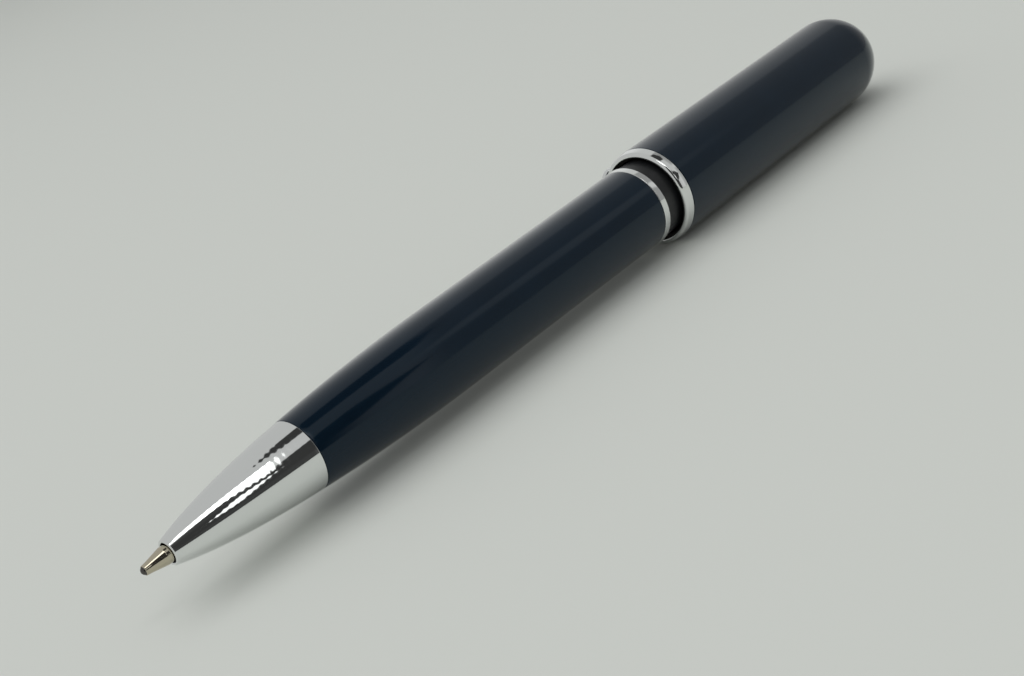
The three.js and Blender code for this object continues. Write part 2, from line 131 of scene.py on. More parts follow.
camera_data = bpy.data.cameras.new("portrait_camera")
camera_data.lens = FOCAL_LENGTH_MM
camera_data.sensor_width = SENSOR_WIDTH_MM
camera_data.clip_start = NEAREST_SEEN_MM * MM
camera = bpy.data.objects.new("portrait_camera", camera_data)
turn = Matrix((TO_THE_RIGHT, TO_THE_TOP, BACKWARDS)).transposed().to_4x4()
camera.matrix_world = Matrix.Translation(CAMERA_PLACE_MM * MM) @ turn
bpy.context.scene.collection.objects.link(camera)
bpy.context.scene.camera = camera
print("camera at", [round(v, 4) for v in camera.location])

# %% [markdown]
# ## Helpers for materials
#
# A colour is picked as an sRGB hex value, and a shader works in linear light, so one function turns the first
# into the second. Another adds any node with its settings, its constants and its links, and hands back its
# outputs, ready for the next node. Kinds that come up often get a short name.

# %% Colours and nodes
BUMP = "ShaderNodeBump"
COORDINATES = "ShaderNodeTexCoord"
MAP_RANGE = "ShaderNodeMapRange"
MATH = "ShaderNodeMath"
MIX = "ShaderNodeMix"


def linear(hex_colour):
    """An sRGB hex value as the linear colour that shaders use."""
    channels = [int(hex_colour[i:i + 2], 16) / 255 for i in (1, 3, 5)]
    return (*[c / 12.92 if c <= 0.04045 else ((c + 0.055) / 1.055) ** 2.4 for c in channels], 1.0)


def add_node(tree, kind, inputs=(), **settings):
    """Adds a node and gives its outputs. Inputs go by name or in order, as sockets or constants."""
    node = tree.nodes.new(kind)
    for key, value in settings.items():
        setattr(node, key, value)
    for key, value in inputs.items() if isinstance(inputs, dict) else enumerate(inputs):
        if isinstance(value, bpy.types.NodeSocket):
            tree.links.new(value, node.inputs[key])
        else:
            node.inputs[key].default_value = value
    return node.outputs


def new_material(name):
    material = bpy.data.materials.new(name)
    material.use_nodes = True
    material.node_tree.nodes.clear()
    return material, material.node_tree


def surface(tree, **sockets):
    """Ends a material in one Principled shader. An underscore in a name stands for a space."""
    inputs = {key.replace("_", " "): value for key, value in sockets.items()}
    shader = add_node(tree, "ShaderNodeBsdfPrincipled", inputs)
    add_node(tree, "ShaderNodeOutputMaterial", {"Surface": shader["BSDF"]})


print("bright chrome in linear light:", [round(c, 3) for c in linear("#e6e8e7")])

# %% [markdown]
# ## Finishes
#
# Each finish is named for the real process, except the blackened brass, whose near-black colour is painted
# shade for the gap at the band. Patterns read Object coordinates, in metres, and as each piece's object stays
# at the origin, a station along the pen is simply the X coordinate. Turning leaves rings round the axis, so
# it is drawn by waves along X. Polishing and plating leave only a faint unevenness, which is noise with a
# very small bump. Nearly every finish has the same two things in its skin: a pattern that makes it rougher
# here and smoother there, and one that stands in relief.

# %% Patterns
WAVE_PERIOD = 0.314     # what a wave texture of scale 1 measures from band to band


def noise(tree, grain_mm, detail=2.0, stretch=(1.0, 1.0, 1.0)):
    """Noise whose grains are about this size, on the piece's own coordinates."""
    coordinates = add_node(tree, COORDINATES)["Object"]
    mapping = add_node(tree, "ShaderNodeMapping", {"Vector": coordinates, "Scale": stretch})
    texture = add_node(tree, "ShaderNodeTexNoise", {
        "Vector": mapping["Vector"], "Scale": 1 / (grain_mm * MM), "Detail": detail})
    return texture["Fac"]


def turning_rings(tree, pitch_mm, distortion):
    """Rings round the pen's axis, one every pitch."""
    wave = add_node(tree, "ShaderNodeTexWave", {
        "Vector": add_node(tree, COORDINATES)["Object"], "Scale": WAVE_PERIOD / (pitch_mm * MM),
        "Distortion": distortion, "Detail": 0.0}, wave_type="BANDS", bands_direction="X")
    return wave["Fac"]


def skin(tree, grain, smoothest, roughest, relief, depth_mm, **under):
    """Roughness spread by one pattern, and a relief from another. Both patterns run from 0 to 1."""
    roughness = add_node(tree, MAP_RANGE, {"Value": grain, "To Min": smoothest, "To Max": roughest})
    normal = add_node(tree, BUMP, {"Height": relief, "Distance": depth_mm * MM, **under})
    return {"Roughness": roughness["Result"], "Normal": normal["Normal"]}


print("a ring every 0.9 mm is a wave of scale", round(WAVE_PERIOD / (0.9 * MM), 1))

# %% Plated and turned metals


def chrome_plating():
    """Bright chrome on polished turned brass: a true mirror, with the ghost of the lathe's rings under it."""
    material, tree = new_material("bright_chrome_plating")
    rings = add_node(tree, BUMP, {"Height": turning_rings(tree, 0.9, 0.5), "Distance": 0.0025 * MM})
    surface(tree, Base_Color=linear("#e6e8e7"), Metallic=1.0, **skin(
        tree, noise(tree, 3.0), 0.035, 0.075, noise(tree, 2.2), 0.0018, Normal=rings["Normal"]))
    return material


def nickel_silver():
    """Nickel silver turned on an automatic lathe: warm grey, with fine rings that break its highlights."""
    material, tree = new_material("turned_nickel_silver")
    # the real rings are 0.02 mm apart, drawn coarser so that they show
    rings = turning_rings(tree, 0.09, 0.2)
    surface(tree, Base_Color=linear("#c4bca8"), Metallic=1.0,
            **skin(tree, noise(tree, 0.3), 0.06, 0.12, rings, 0.0001))
    return material


def turned_brass():
    """Brass straight from the lathe: yellow, satin, with tool rings and a little brown tarnish."""
    material, tree = new_material("turned_brass")
    brown = add_node(tree, MAP_RANGE, {"Value": noise(tree, 1.6, 4.0), "To Max": 0.7})
    tarnish = add_node(tree, MIX, {
        "Factor": brown["Result"], "A": linear("#d9b35f"), "B": linear("#a98145")}, data_type="RGBA")
    surface(tree, Base_Color=tarnish["Result"], Metallic=1.0,
            **skin(tree, noise(tree, 0.5), 0.26, 0.4, turning_rings(tree, 0.12, 0.2), 0.0008))
    return material


def blackened_brass():
    """Brass coloured near black as painted shade, so that the gap at the band shows dark: a thin dark satin
    skin on metal.
    """
    material, tree = new_material("blackened_brass")
    # the near-black base colour is painted shade for the gap between band and sleeve
    cloud = noise(tree, 0.4, 3.0)
    surface(tree, Base_Color=linear("#1b1a19"), Metallic=1.0, **skin(tree, cloud, 0.4, 0.55, cloud, 0.0015))
    return material


def drawn_steel():
    """Steel tube drawn through a die: satin, with long fine lines along it."""
    material, tree = new_material("drawn_steel_tube")
    lines = noise(tree, 0.08, 2.0, stretch=(0.02, 1.0, 1.0))
    surface(tree, Base_Color=linear("#c2c5c7"), Metallic=1.0, **skin(tree, lines, 0.2, 0.36, lines, 0.001))
    return material


def spring_wire():
    """Hard-drawn spring wire: bright steel with drawing marks."""
    material, tree = new_material("drawn_spring_wire")
    marks = noise(tree, 0.1, 3.0)
    surface(tree, Base_Color=linear("#b4b7ba"), Metallic=1.0, **skin(tree, marks, 0.22, 0.38, marks, 0.001))
    return material


def carbide():
    """Ground tungsten carbide, wet with dark ink: a dark metallic glint."""
    material, tree = new_material("ground_tungsten_carbide")
    grit = noise(tree, 0.05, 2.0)
    surface(tree, Base_Color=linear("#5a5856"), Metallic=1.0, **skin(tree, grit, 0.18, 0.34, grit, 0.0006))
    return material


finish = {
    "bright_chrome": chrome_plating(),
    "nickel_silver": nickel_silver(),
    "turned_brass": turned_brass(),
    # near-black lining: its colour is painted shade for the dark gap at the band
    "blackened_brass": blackened_brass(),
    "drawn_steel": drawn_steel(),
    "spring_steel": spring_wire(),
    "carbide": carbide(),
}
print("metals:", sorted(finish))

# %% [markdown]
# The barrels are brass tubes sprayed with a very dark navy lacquer, stoved and polished. The depth of
# such a finish is a clear layer over the colour, so the shader's coat does what the clear layer does.
# Sprayed lacquer is never quite flat: it has a soft waviness like the skin of an orange.

# %% Lacquer, plastics, rubber and ink


def navy_lacquer():
    """Stoved gloss lacquer: nearly black, with a blue depth and crisp but slightly soft reflections."""
    material, tree = new_material("stoved_navy_lacquer")
    depth = add_node(tree, MIX, {
        "Factor": noise(tree, 6.0), "A": linear("#08141f"), "B": linear("#0b1a28")}, data_type="RGBA")
    orange_peel = add_node(tree, BUMP, {"Height": noise(tree, 1.1, 1.0), "Distance": 0.0010 * MM})
    # the pigment under the clear layer has a faint blue shine of its own
    surface(tree, Base_Color=depth["Result"], Roughness=0.2, Specular_IOR_Level=0.1,
            Specular_Tint=linear("#00c2fd"), Coat_Weight=1.0, Coat_Roughness=0.09, Coat_IOR=1.31,
            Coat_Normal=orange_peel["Normal"], Normal=orange_peel["Normal"])
    return material


def black_plastic():
    """Black moulded plastic: a fine spark-eroded texture that makes it satin."""
    material, tree = new_material("black_moulded_plastic")
    grain = noise(tree, 0.12, 3.0)
    surface(tree, Base_Color=linear("#17181a"), IOR=1.49, **skin(tree, grain, 0.36, 0.5, grain, 0.003))
    return material


def natural_acetal():
    """Natural acetal: milky white, slightly waxy."""
    material, tree = new_material("natural_acetal")
    grain = noise(tree, 0.3, 2.0)
    surface(tree, Base_Color=linear("#e3e0d4"), IOR=1.48, Subsurface_Weight=0.25, Subsurface_Scale=0.0015,
            Subsurface_Radius=(1.0, 0.9, 0.7), **skin(tree, grain, 0.34, 0.5, grain, 0.002))
    return material


def nitrile_rubber():
    """Moulded nitrile rubber, lightly greased."""
    material, tree = new_material("nitrile_rubber")
    grain = noise(tree, 0.1, 3.0)
    surface(tree, Base_Color=linear("#1b1b1b"), IOR=1.52, **skin(tree, grain, 0.5, 0.75, grain, 0.004))
    return material


def ink_paste():
    """Ballpoint ink: a thick glossy blue-black paste."""
    material, tree = new_material("writing_paste")
    swirl = add_node(tree, MIX, {
        "Factor": noise(tree, 1.5, 3.0), "A": linear("#0a1036"), "B": linear("#121c58")}, data_type="RGBA")
    surface(tree, Base_Color=swirl["Result"], Roughness=0.15, IOR=1.5)
    return material


finish["navy_lacquer"] = navy_lacquer()
finish["black_plastic"] = black_plastic()
finish["white_plastic"] = natural_acetal()
finish["seal_rubber"] = nitrile_rubber()
finish["ink"] = ink_paste()
print("finishes:", len(finish))

# %% [markdown]
# ## A lathe in Geometry Nodes
#
# Nearly every piece of a pen is turned: its outline goes once round the axis. That is a rule, so one
# node tree can make them all. The tree takes an outline, which is a row of vertices with their station
# in X and their radius in Z, and lays a grid whose rows are the outline's vertices and whose columns go
# round. A Set Position node then wraps the grid.
#
# A screw thread is part of the same rule: the radius rises and falls with the station, and the ridge
# moves on by one pitch a turn. How deep the thread is cut at a vertex of the outline is kept in its Y,
# above zero for a thread on the outside and below zero for one in a bore.

# %% The lathe tree
SHARP_EDGE = math.radians(32)
MERGE_DISTANCE = 0.0005 * MM
SOCKET_KINDS = {int: "NodeSocketInt", float: "NodeSocketFloat", type(None): "NodeSocketMaterial"}


def tree_with_sockets(name, sockets):
    """A geometry node tree with a geometry socket in and out, and inputs by name and default."""
    tree = bpy.data.node_groups.new(name, "GeometryNodeTree")
    tree.interface.new_socket("Geometry", in_out="INPUT", socket_type="NodeSocketGeometry")
    for socket_name, value in sockets.items():
        kind = SOCKET_KINDS[type(value)]
        socket = tree.interface.new_socket(socket_name, in_out="INPUT", socket_type=kind)
        socket.default_value = value
    tree.interface.new_socket("Geometry", in_out="OUTPUT", socket_type="NodeSocketGeometry")
    return tree, add_node(tree, "NodeGroupInput")


def laid_round(tree, geometry, along, radius, angle, axis_height):
    """Puts each point at its place along the axis, at its radius and its angle from the top."""
    sine = add_node(tree, MATH, (angle,), operation="SINE")[0]
    cosine = add_node(tree, MATH, (angle,), operation="COSINE")[0]
    across = add_node(tree, MATH, (radius, sine), operation="MULTIPLY")[0]
    height = add_node(tree, MATH, (radius, cosine, axis_height), operation="MULTIPLY_ADD")[0]
    place = add_node(tree, "ShaderNodeCombineXYZ", (along, across, height))[0]
    return add_node(tree, "GeometryNodeSetPosition", {"Geometry": geometry, "Position": place})[0]


def finish_tree(tree, geometry, material):
    """Smooth faces with crisp edges, one finish, and real geometry instead of instances."""
    smooth = add_node(tree, "GeometryNodeSetShadeSmooth", {"Geometry": geometry, "Shade Smooth": True})
    bend = add_node(tree, "GeometryNodeInputMeshEdgeAngle")["Unsigned Angle"]
    sharp = add_node(tree, "FunctionNodeCompare", (bend, SHARP_EDGE), operation="GREATER_THAN")
    crisp = add_node(tree, "GeometryNodeSetShadeSmooth", {
        "Geometry": smooth[0], "Selection": sharp[0], "Shade Smooth": False}, domain="EDGE")
    real = add_node(tree, "GeometryNodeRealizeInstances", {"Geometry": crisp[0]})
    painted = add_node(tree, "GeometryNodeSetMaterial", {"Geometry": real[0], "Material": material})
    add_node(tree, "NodeGroupOutput", {"Geometry": painted[0]})


def lathe_tree():
    tree, given = tree_with_sockets("turned_piece", {
        "Sides": 96, "Axis Height": 0.0, "Thread Pitch": 0.5 * MM, "Thread Depth": 0.2 * MM, "Finish": None})
    rows = add_node(tree, "GeometryNodeAttributeDomainSize", {"Geometry": given["Geometry"]})[0]
    columns = add_node(tree, MATH, (given["Sides"], 1), operation="ADD")[0]
    grid = add_node(tree, "GeometryNodeMeshGrid", {"Vertices X": rows, "Vertices Y": columns})["Mesh"]

    # the grid numbers its vertices row by row, and each row is one vertex of the outline
    index = add_node(tree, "GeometryNodeInputIndex")[0]
    column = add_node(tree, MATH, (index, columns), operation="MODULO")[0]
    rows_past = add_node(tree, MATH, (index, columns), operation="DIVIDE")[0]
    row = add_node(tree, MATH, (rows_past,), operation="FLOOR")[0]
    position = add_node(tree, "GeometryNodeInputPosition")[0]
    sampled = add_node(tree, "GeometryNodeSampleIndex", {
        "Geometry": given["Geometry"], "Value": position, "Index": row}, data_type="FLOAT_VECTOR")
    outline = add_node(tree, "ShaderNodeSeparateXYZ", (sampled[0],))

    # the thread is a wave along the pen that moves on by one pitch a turn
    whole_turns = add_node(tree, MATH, (column, math.tau), operation="MULTIPLY")[0]
    angle = add_node(tree, MATH, (whole_turns, given["Sides"]), operation="DIVIDE")[0]
    pitches = add_node(tree, MATH, (outline["X"], given["Thread Pitch"]), operation="DIVIDE")[0]
    phase = add_node(tree, MATH, (pitches, -math.tau, angle), operation="MULTIPLY_ADD")[0]
    wave = add_node(tree, MATH, (phase,), operation="COSINE")[0]
    groove = add_node(tree, MATH, (wave, 0.5, 0.5), operation="MULTIPLY_ADD")[0]
    share = add_node(tree, MATH, (groove, outline["Y"]), operation="MULTIPLY")[0]
    cut = add_node(tree, MATH, (share, given["Thread Depth"]), operation="MULTIPLY")[0]
    radius = add_node(tree, MATH, (outline["Z"], cut), operation="SUBTRACT")[0]

    # each vertex goes round the axis by the angle of its column
    wrapped = laid_round(tree, grid, outline["X"], radius, angle, given["Axis Height"])
    closed = add_node(tree, "GeometryNodeMergeByDistance", {"Geometry": wrapped, "Distance": MERGE_DISTANCE})
    finish_tree(tree, closed[0], given["Finish"])
    return tree


LATHE = lathe_tree()
print("lathe tree:", len(LATHE.nodes), "nodes")

# %% [markdown]
# The tree is run by a modifier. A modifier knows its inputs by identifier, not by name, so a helper
# looks each name up in the tree's interface. Then the evaluated result becomes a plain mesh, and the
# modifier goes. A closed mesh can tell its outside from its inside, so the normals are put right here.

# %% Run a tree, keep a plain mesh


def link(piece):
    bpy.context.scene.collection.objects.link(piece)
    return piece


def settle_normals(mesh):
    work = bmesh.new()
    work.from_mesh(mesh)
    bmesh.ops.recalc_face_normals(work, faces=work.faces)
    open_edges = sum(1 for edge in work.edges if not edge.is_manifold)
    work.to_mesh(mesh)
    work.free()
    return open_edges


def plain_mesh(piece):
    """The evaluated piece as its own mesh, with no modifier left."""
    bpy.context.view_layer.update()
    evaluated = piece.evaluated_get(bpy.context.evaluated_depsgraph_get())
    mesh = bpy.data.meshes.new_from_object(evaluated)
    piece.modifiers.clear()
    old = piece.data
    piece.data = mesh
    bpy.data.meshes.remove(old)
    mesh.name = piece.name
    return piece


def run_tree(piece, tree, **values):
    modifier = piece.modifiers.new(tree.name, "NODES")
    modifier.node_group = tree
    identifiers = {s.name: s.identifier for s in tree.interface.items_tree if s.in_out == "INPUT"}
    for key, value in values.items():
        modifier[identifiers[key.replace("_", " ")]] = value
    plain_mesh(piece)
    # a new mesh brings an empty slot, which the faces of a later cut would take as their finish
    materials = piece.data.materials
    for index in reversed([i for i, material in enumerate(materials) if material is None]):
        materials.pop(index=index)
    open_edges = settle_normals(piece.data)
    print(f"{piece.name}: {len(piece.data.polygons)} faces, {open_edges} open edges")
    return piece


# %% [markdown]
# ## Outlines
#
# A sharp inner or outer corner on a turned piece is rare: the maker breaks every edge. So an outline is
# given as corners of station and radius, each with the size of its rounding, and a helper puts a short
# curve there. It also adds a point just beside each curve. That keeps the long smooth faces next to it
# truly straight when Blender blends the normals, which matters on a mirror finish.

# %% Outline helpers
MOST_OF_AN_EDGE = 0.45      # how much of an edge one rounding may take
GUARD_SHARE = 0.35          # how far a guard point stands from its curve, as a share of the rounding
GUARD_OF_AN_EDGE = 0.04
THREAD_STEP = 0.05
THREAD_PITCH = 0.5
THREAD_DEPTH = 0.2


def curve_points(start, middle, end, steps):
    """Points of a curve that leaves one point towards a middle point and arrives from it."""
    points = []
    for i in range(steps + 1):
        t = i / steps
        points.append(tuple((1 - t) ** 2 * a + 2 * t * (1 - t) * b + t * t * c
                            for a, b, c in zip(start, middle, end)))
    return points


def rounded(corners, closed=True, steps=5):
    """Corners of (station, radius, rounding) as a row of points."""
    points = []
    count = len(corners)
    for i, corner in enumerate(corners):
        rounding = corner[2] if len(corner) > 2 else 0.0
        here = Vector(corner[:2])
        at_end = not closed and i in (0, count - 1)
        if rounding == 0.0 or at_end:
            points.append(tuple(here))
            continue
        before = Vector(corners[i - 1][:2]) - here
        after = Vector(corners[(i + 1) % count][:2]) - here
        shorter = min(before.length, after.length)
        rounding = min(rounding, MOST_OF_AN_EDGE * shorter)
        guard = min(GUARD_SHARE * rounding, GUARD_OF_AN_EDGE * shorter + 1e-4)
        start = here + before.normalized() * rounding
        end = here + after.normalized() * rounding
        points.append(tuple(start + before.normalized() * guard))
        points.extend(curve_points(start, here, end, steps))
        points.append(tuple(end + after.normalized() * guard))
    if closed:
        points.append(points[0])
    return points


def threaded(points, radius, first, last, share=1.0):
    """Marks a thread between two stations, on the straight part of an outline that lies at a radius."""
    result = []
    for (x0, r0), (x1, r1) in zip(points, points[1:]):
        result.append((x0, r0, 0.0))
        covers = min(x0, x1) <= first + 0.01 and max(x0, x1) >= last - 0.01
        if not covers or max(abs(r0 - radius), abs(r1 - radius)) > 1e-6:
            continue
        count = round((last - first) / THREAD_STEP)
        for i in range(count + 1):
            t = i / count
            x = first + (last - first) * (t if x1 > x0 else 1 - t)
            # over a quarter of its length at each end the thread rises out of the plain tube
            fade = min(1.0, 4 * t, 4 * (1 - t))
            result.append((x, r0, share * fade))
    result.append((*points[-1], 0.0))
    return result


def dress(piece, body, node):
    """A piece that rides on its body and stands for its node."""
    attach(piece, body)
    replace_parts(piece, node)
    return piece


def turned(name, points, slot, body, node, sides=96):
    """A turned piece from its outline, dressed. A third number of a point is the depth of its thread."""
    mesh = bpy.data.meshes.new(name)
    rows = [(TIP_X + p[0] * MM, p[2] if len(p) > 2 else 0.0, p[1] * MM) for p in points]
    mesh.from_pydata(rows, [(i, i + 1) for i in range(len(rows) - 1)], [])
    piece = link(bpy.data.objects.new(name, mesh))
    run_tree(piece, LATHE, Sides=sides, Axis_Height=AXIS_Z, Thread_Pitch=THREAD_PITCH * MM,
             Thread_Depth=THREAD_DEPTH * MM, Finish=finish[slot])
    return dress(piece, body, node)


def tube(front, rear, outer, inner, edge=0.06):
    """Outline of a plain tube with broken edges."""
    return rounded([(front, inner, edge), (front, outer, edge), (rear, outer, edge), (rear, inner, edge)])


# %% [markdown]
# ## Nose cone
#
# The nose is the brightest piece of the pen, a bullet turned from brass and plated. Its outline is one
# slow curve from the mouth to the seam, with a small rolled lip at the mouth. Behind the seam its
# threaded tail goes into the barrel, and inside it has a seat for the spring.

# %% Nose cone
MOUTH = stations("nose_cone")[0]
NOSE_TAIL_END = stations("nose_cone")[1]
NOSE_SEAM = stations("lower_barrel")[0] - 0.05
NOSE_TAIL_RADIUS = 3.5
SEAM_RADIUS = 4.42
REFILL_BORE = 3.12
SPRING_BORE = 2.4
NECK_BORE = 1.65
POINT_BORE = 1.18
SPRING_SEAT = MOUTH + 6.1
TUBE_STEP = 18.2
NECK_STEP = 5.45
POINT_STEP = 5.15
NOSE_LENGTH = NOSE_SEAM - MOUTH

nose_lip = [(MOUTH + 0.30, POINT_BORE), (MOUTH + 0.10, POINT_BORE + 0.03)]
nose_lip += curve_points((MOUTH + 0.03, POINT_BORE + 0.10), (MOUTH - 0.02, 1.34), (MOUTH + 0.13, 1.515), 8)
bullet = curve_points((MOUTH + 0.14, 1.52), (MOUTH + 0.36 * NOSE_LENGTH, 3.48),
                      (NOSE_SEAM, SEAM_RADIUS), 64)[1:-1]
tail = rounded([
    bullet[-1], (NOSE_SEAM, SEAM_RADIUS, 0.05), (NOSE_SEAM, NOSE_TAIL_RADIUS, 0.05),
    (NOSE_TAIL_END, NOSE_TAIL_RADIUS, 0.25), (NOSE_TAIL_END, REFILL_BORE, 0.08),
    (TUBE_STEP, REFILL_BORE, 0.05), (TUBE_STEP, SPRING_BORE, 0.08), (SPRING_SEAT, SPRING_BORE, 0.05),
    (SPRING_SEAT, NECK_BORE, 0.08), (NECK_STEP, NECK_BORE, 0.05), (POINT_STEP, POINT_BORE, 0.05),
    nose_lip[0],
], closed=False)
nose_outline = threaded(nose_lip + bullet + tail, NOSE_TAIL_RADIUS, NOSE_SEAM + 0.9, NOSE_TAIL_END - 0.5)
turned("nose_bullet", nose_outline, "bright_chrome", "nose", "nose_cone", sides=128)
print("nose:", round(MOUTH, 2), "to", round(NOSE_SEAM, 2), "mm, tail to", round(NOSE_TAIL_END, 2))

# %% [markdown]
# ## Lower barrel
#
# The lower barrel swells in one curve over its first third and then runs nearly straight. Its edges
# are broken by the lacquer, which draws back a little from a sharp corner.

# %% Lower barrel
BARREL_END = stations("lower_barrel")[1]
TAPER_END = 46.0
TAPER_BEND = NOSE_SEAM + 11.81
BARREL_BORE = 5.12
FRONT_BORE = 3.92
BORE_WIDENS, BORE_IS_WIDE = 29.5, 45.0
BARREL_RADIUS = outer_radius("lower_barrel")
REAR_SWELL = 0.15
TAPER_RADIUS = BARREL_RADIUS - REAR_SWELL
BARREL_FRONT = NOSE_SEAM + 0.05
STRAIGHT_ROWS = 12

taper = curve_points((BARREL_FRONT, SEAM_RADIUS), (TAPER_BEND, TAPER_RADIUS - 0.04),
                     (TAPER_END, TAPER_RADIUS), 56)
front_edge = curve_points((BARREL_FRONT, SEAM_RADIUS - 0.10), (BARREL_FRONT, SEAM_RADIUS - 0.005),
                          (BARREL_FRONT + 0.12, SEAM_RADIUS + 0.005), 5)
straight = [(TAPER_END + (BARREL_END - TAPER_END) * i / STRAIGHT_ROWS,
             TAPER_RADIUS + REAR_SWELL * i / STRAIGHT_ROWS) for i in range(1, STRAIGHT_ROWS)]
inside = rounded([
    straight[-1], (BARREL_END, BARREL_RADIUS, 0.07), (BARREL_END, BARREL_BORE, 0.1),
    (BORE_IS_WIDE, BARREL_BORE, 0.2), (BORE_WIDENS, FRONT_BORE, 0.2),
    (BARREL_FRONT, FRONT_BORE, 0.08), front_edge[0],
], closed=False)
turned("lower_barrel_tube", front_edge + taper[2:] + straight + inside[1:], "navy_lacquer",
       "lower_pen", "lower_barrel", sides=128)

# %% [markdown]
# ## Rings and sleeve of the middle
#
# Between the two barrels sit, from the front: a narrow bright ring, the black sleeve on which the upper
# barrel turns, and the bright band in the mouth of the upper barrel. The band's front is a rounded lip,
# and its reflections bend round that lip, so the lip gets many rows.

# %% Bright trim ring and black sleeve
SLEEVE_RADIUS = outer_radius("centre_sleeve")
SLEEVE_BORE = 4.45
ring_front, ring_rear = stations("lower_trim_ring")
ring_radius = outer_radius("lower_trim_ring")
crown = curve_points((ring_front, ring_radius - 0.15), (ring_front + 0.02, ring_radius - 0.054),
                     (ring_front + 0.08, ring_radius - 0.05), 6)
crown += [(ring_front + 0.12, ring_radius - 0.0475), (ring_rear - 0.10, ring_radius)]
turned("bright_trim_ring", crown + rounded([
    crown[-1], (ring_rear, ring_radius, 0.10), (ring_rear, SLEEVE_BORE, 0.05),
    (ring_front, SLEEVE_BORE, 0.05), crown[0]], closed=False, steps=7)[1:],
    "bright_chrome", "lower_pen", "lower_trim_ring", sides=128)

sleeve_front, sleeve_rear = stations("centre_sleeve")
SEAL_MIDDLE = sum(stations("friction_ring")) / 2
GROOVE_FRONT, GROOVE_REAR = SEAL_MIDDLE - 0.4, SEAL_MIDDLE + 0.4
GROOVE_RADIUS = SLEEVE_RADIUS - 0.6
turned("black_centre_sleeve", rounded([
    (sleeve_front, SLEEVE_BORE, 0.06), (sleeve_front, SLEEVE_RADIUS, 0.08),
    (GROOVE_FRONT, SLEEVE_RADIUS, 0.06), (GROOVE_FRONT, GROOVE_RADIUS, 0.06),
    (GROOVE_REAR, GROOVE_RADIUS, 0.06), (GROOVE_REAR, SLEEVE_RADIUS, 0.06),
    (sleeve_rear, SLEEVE_RADIUS, 0.2), (sleeve_rear, SLEEVE_BORE, 0.08)]),
    "black_plastic", "lower_pen", "centre_sleeve", sides=128)

# %% Bright band
BAND_FRONT, BAND_REAR = stations("centre_band")
BAND_RADIUS = outer_radius("centre_band")
BAND_MOUTH = 6.05
BAND_BORE = 6.22
LIP_REAR = BAND_FRONT + 0.9
band_lip = curve_points((BAND_FRONT + 0.10, BAND_MOUTH), (BAND_FRONT - 0.02, BAND_MOUTH + 0.12),
                        (BAND_FRONT + 0.14, BAND_MOUTH + 0.42), 10)
shoulder = curve_points(band_lip[-1], (BAND_FRONT + 0.24, BAND_MOUTH + 0.58),
                        (BAND_FRONT + 0.48, BAND_MOUTH + 0.62), 10)[1:]
shoulder.append((BAND_REAR - 0.06, BAND_RADIUS - 0.005))
band_rest = rounded([
    shoulder[-1], (BAND_REAR, BAND_RADIUS, 0.05), (BAND_REAR, BAND_BORE, 0.05),
    (LIP_REAR, BAND_BORE, 0.03), (LIP_REAR, BAND_MOUTH, 0.06), band_lip[0]], closed=False)
turned("bright_centre_band", band_lip + shoulder[:-1] + band_rest, "bright_chrome", "upper_pen",
       "centre_band", sides=128)

# %% [markdown]
# ## Upper barrel
#
# A plain drawn tube whose end is spun to a dome. The dome is an ellipse, a little longer than half a
# ball. One slot in its wall takes the tang of the clip, so the slot is cut with a Boolean modifier once
# the tube is turned.

# %% Upper barrel
UPPER_RADIUS = outer_radius("upper_barrel")
UPPER_FRONT, UPPER_END = stations("upper_barrel")
UPPER_BORE = 6.22
DOME_LENGTH = 7.2
DOME_START = UPPER_END - DOME_LENGTH
WALL_ROWS = 14


def dome(start, radius, length, steps):
    """Quarter of an ellipse from the tube's wall to the axis."""
    angles = [math.pi / 2 * i / steps for i in range(steps + 1)]
    points = [(start + length * math.sin(a), radius * math.cos(a)) for a in angles]
    points[-1] = (start + length, 0.0)
    return points


wall = [(UPPER_FRONT + (DOME_START - UPPER_FRONT) * i / WALL_ROWS, UPPER_RADIUS)
        for i in range(1, WALL_ROWS)]
upper_mouth = rounded([(UPPER_FRONT + 2, UPPER_BORE), (UPPER_FRONT, UPPER_BORE, 0.06),
                       (UPPER_FRONT, UPPER_RADIUS, 0.07), wall[0]], closed=False)
inner_dome = dome(DOME_START - 2, UPPER_BORE, 2.0, 20)
outer_dome = dome(DOME_START, UPPER_RADIUS, DOME_LENGTH, 40)
upper_barrel = turned("upper_barrel_tube", inner_dome[::-1] + upper_mouth[:-1] + wall + outer_dome,
                      "navy_lacquer", "upper_pen", "upper_barrel", sides=128)

# %% The slot for the clip's tang
CLIP_TURN = math.radians(80)
CLIP_OUT = Vector((0, math.sin(CLIP_TURN), math.cos(CLIP_TURN)))
CLIP_ACROSS = Vector((0, math.cos(CLIP_TURN), -math.sin(CLIP_TURN)))
TANG_FRONT, TANG_REAR = 127.4, 129.4
TANG_WIDTH = 2.6
SLOT_ROOM = 0.25


def box_corners(front, rear, half_width, low, high, across, out):
    """Corners of a box between two stations, lying along two directions square to the axis."""
    return [on_axis(x) + across * (t * MM) + out * (r * MM)
            for x in (front, rear) for t in (-half_width, half_width) for r in (low, high)]


def box_mesh(name, corners):
    mesh = bpy.data.meshes.new(name)
    faces = [(0, 1, 3, 2), (4, 6, 7, 5), (0, 4, 5, 1), (2, 3, 7, 6), (0, 2, 6, 4), (1, 5, 7, 3)]
    mesh.from_pydata(corners, [], faces)
    settle_normals(mesh)
    return mesh


def cut_slot(piece, corners):
    """Cuts a box out of a piece, and keeps the result as a plain mesh."""
    cutter = link(bpy.data.objects.new("slot_cutter", box_mesh("slot_cutter", corners)))
    modifier = piece.modifiers.new("slot", "BOOLEAN")
    modifier.object = cutter
    modifier.operation = "DIFFERENCE"
    modifier.solver = "EXACT"
    plain_mesh(piece)
    bpy.data.objects.remove(cutter)
    print(piece.name, "with its slot:", len(piece.data.polygons), "faces")


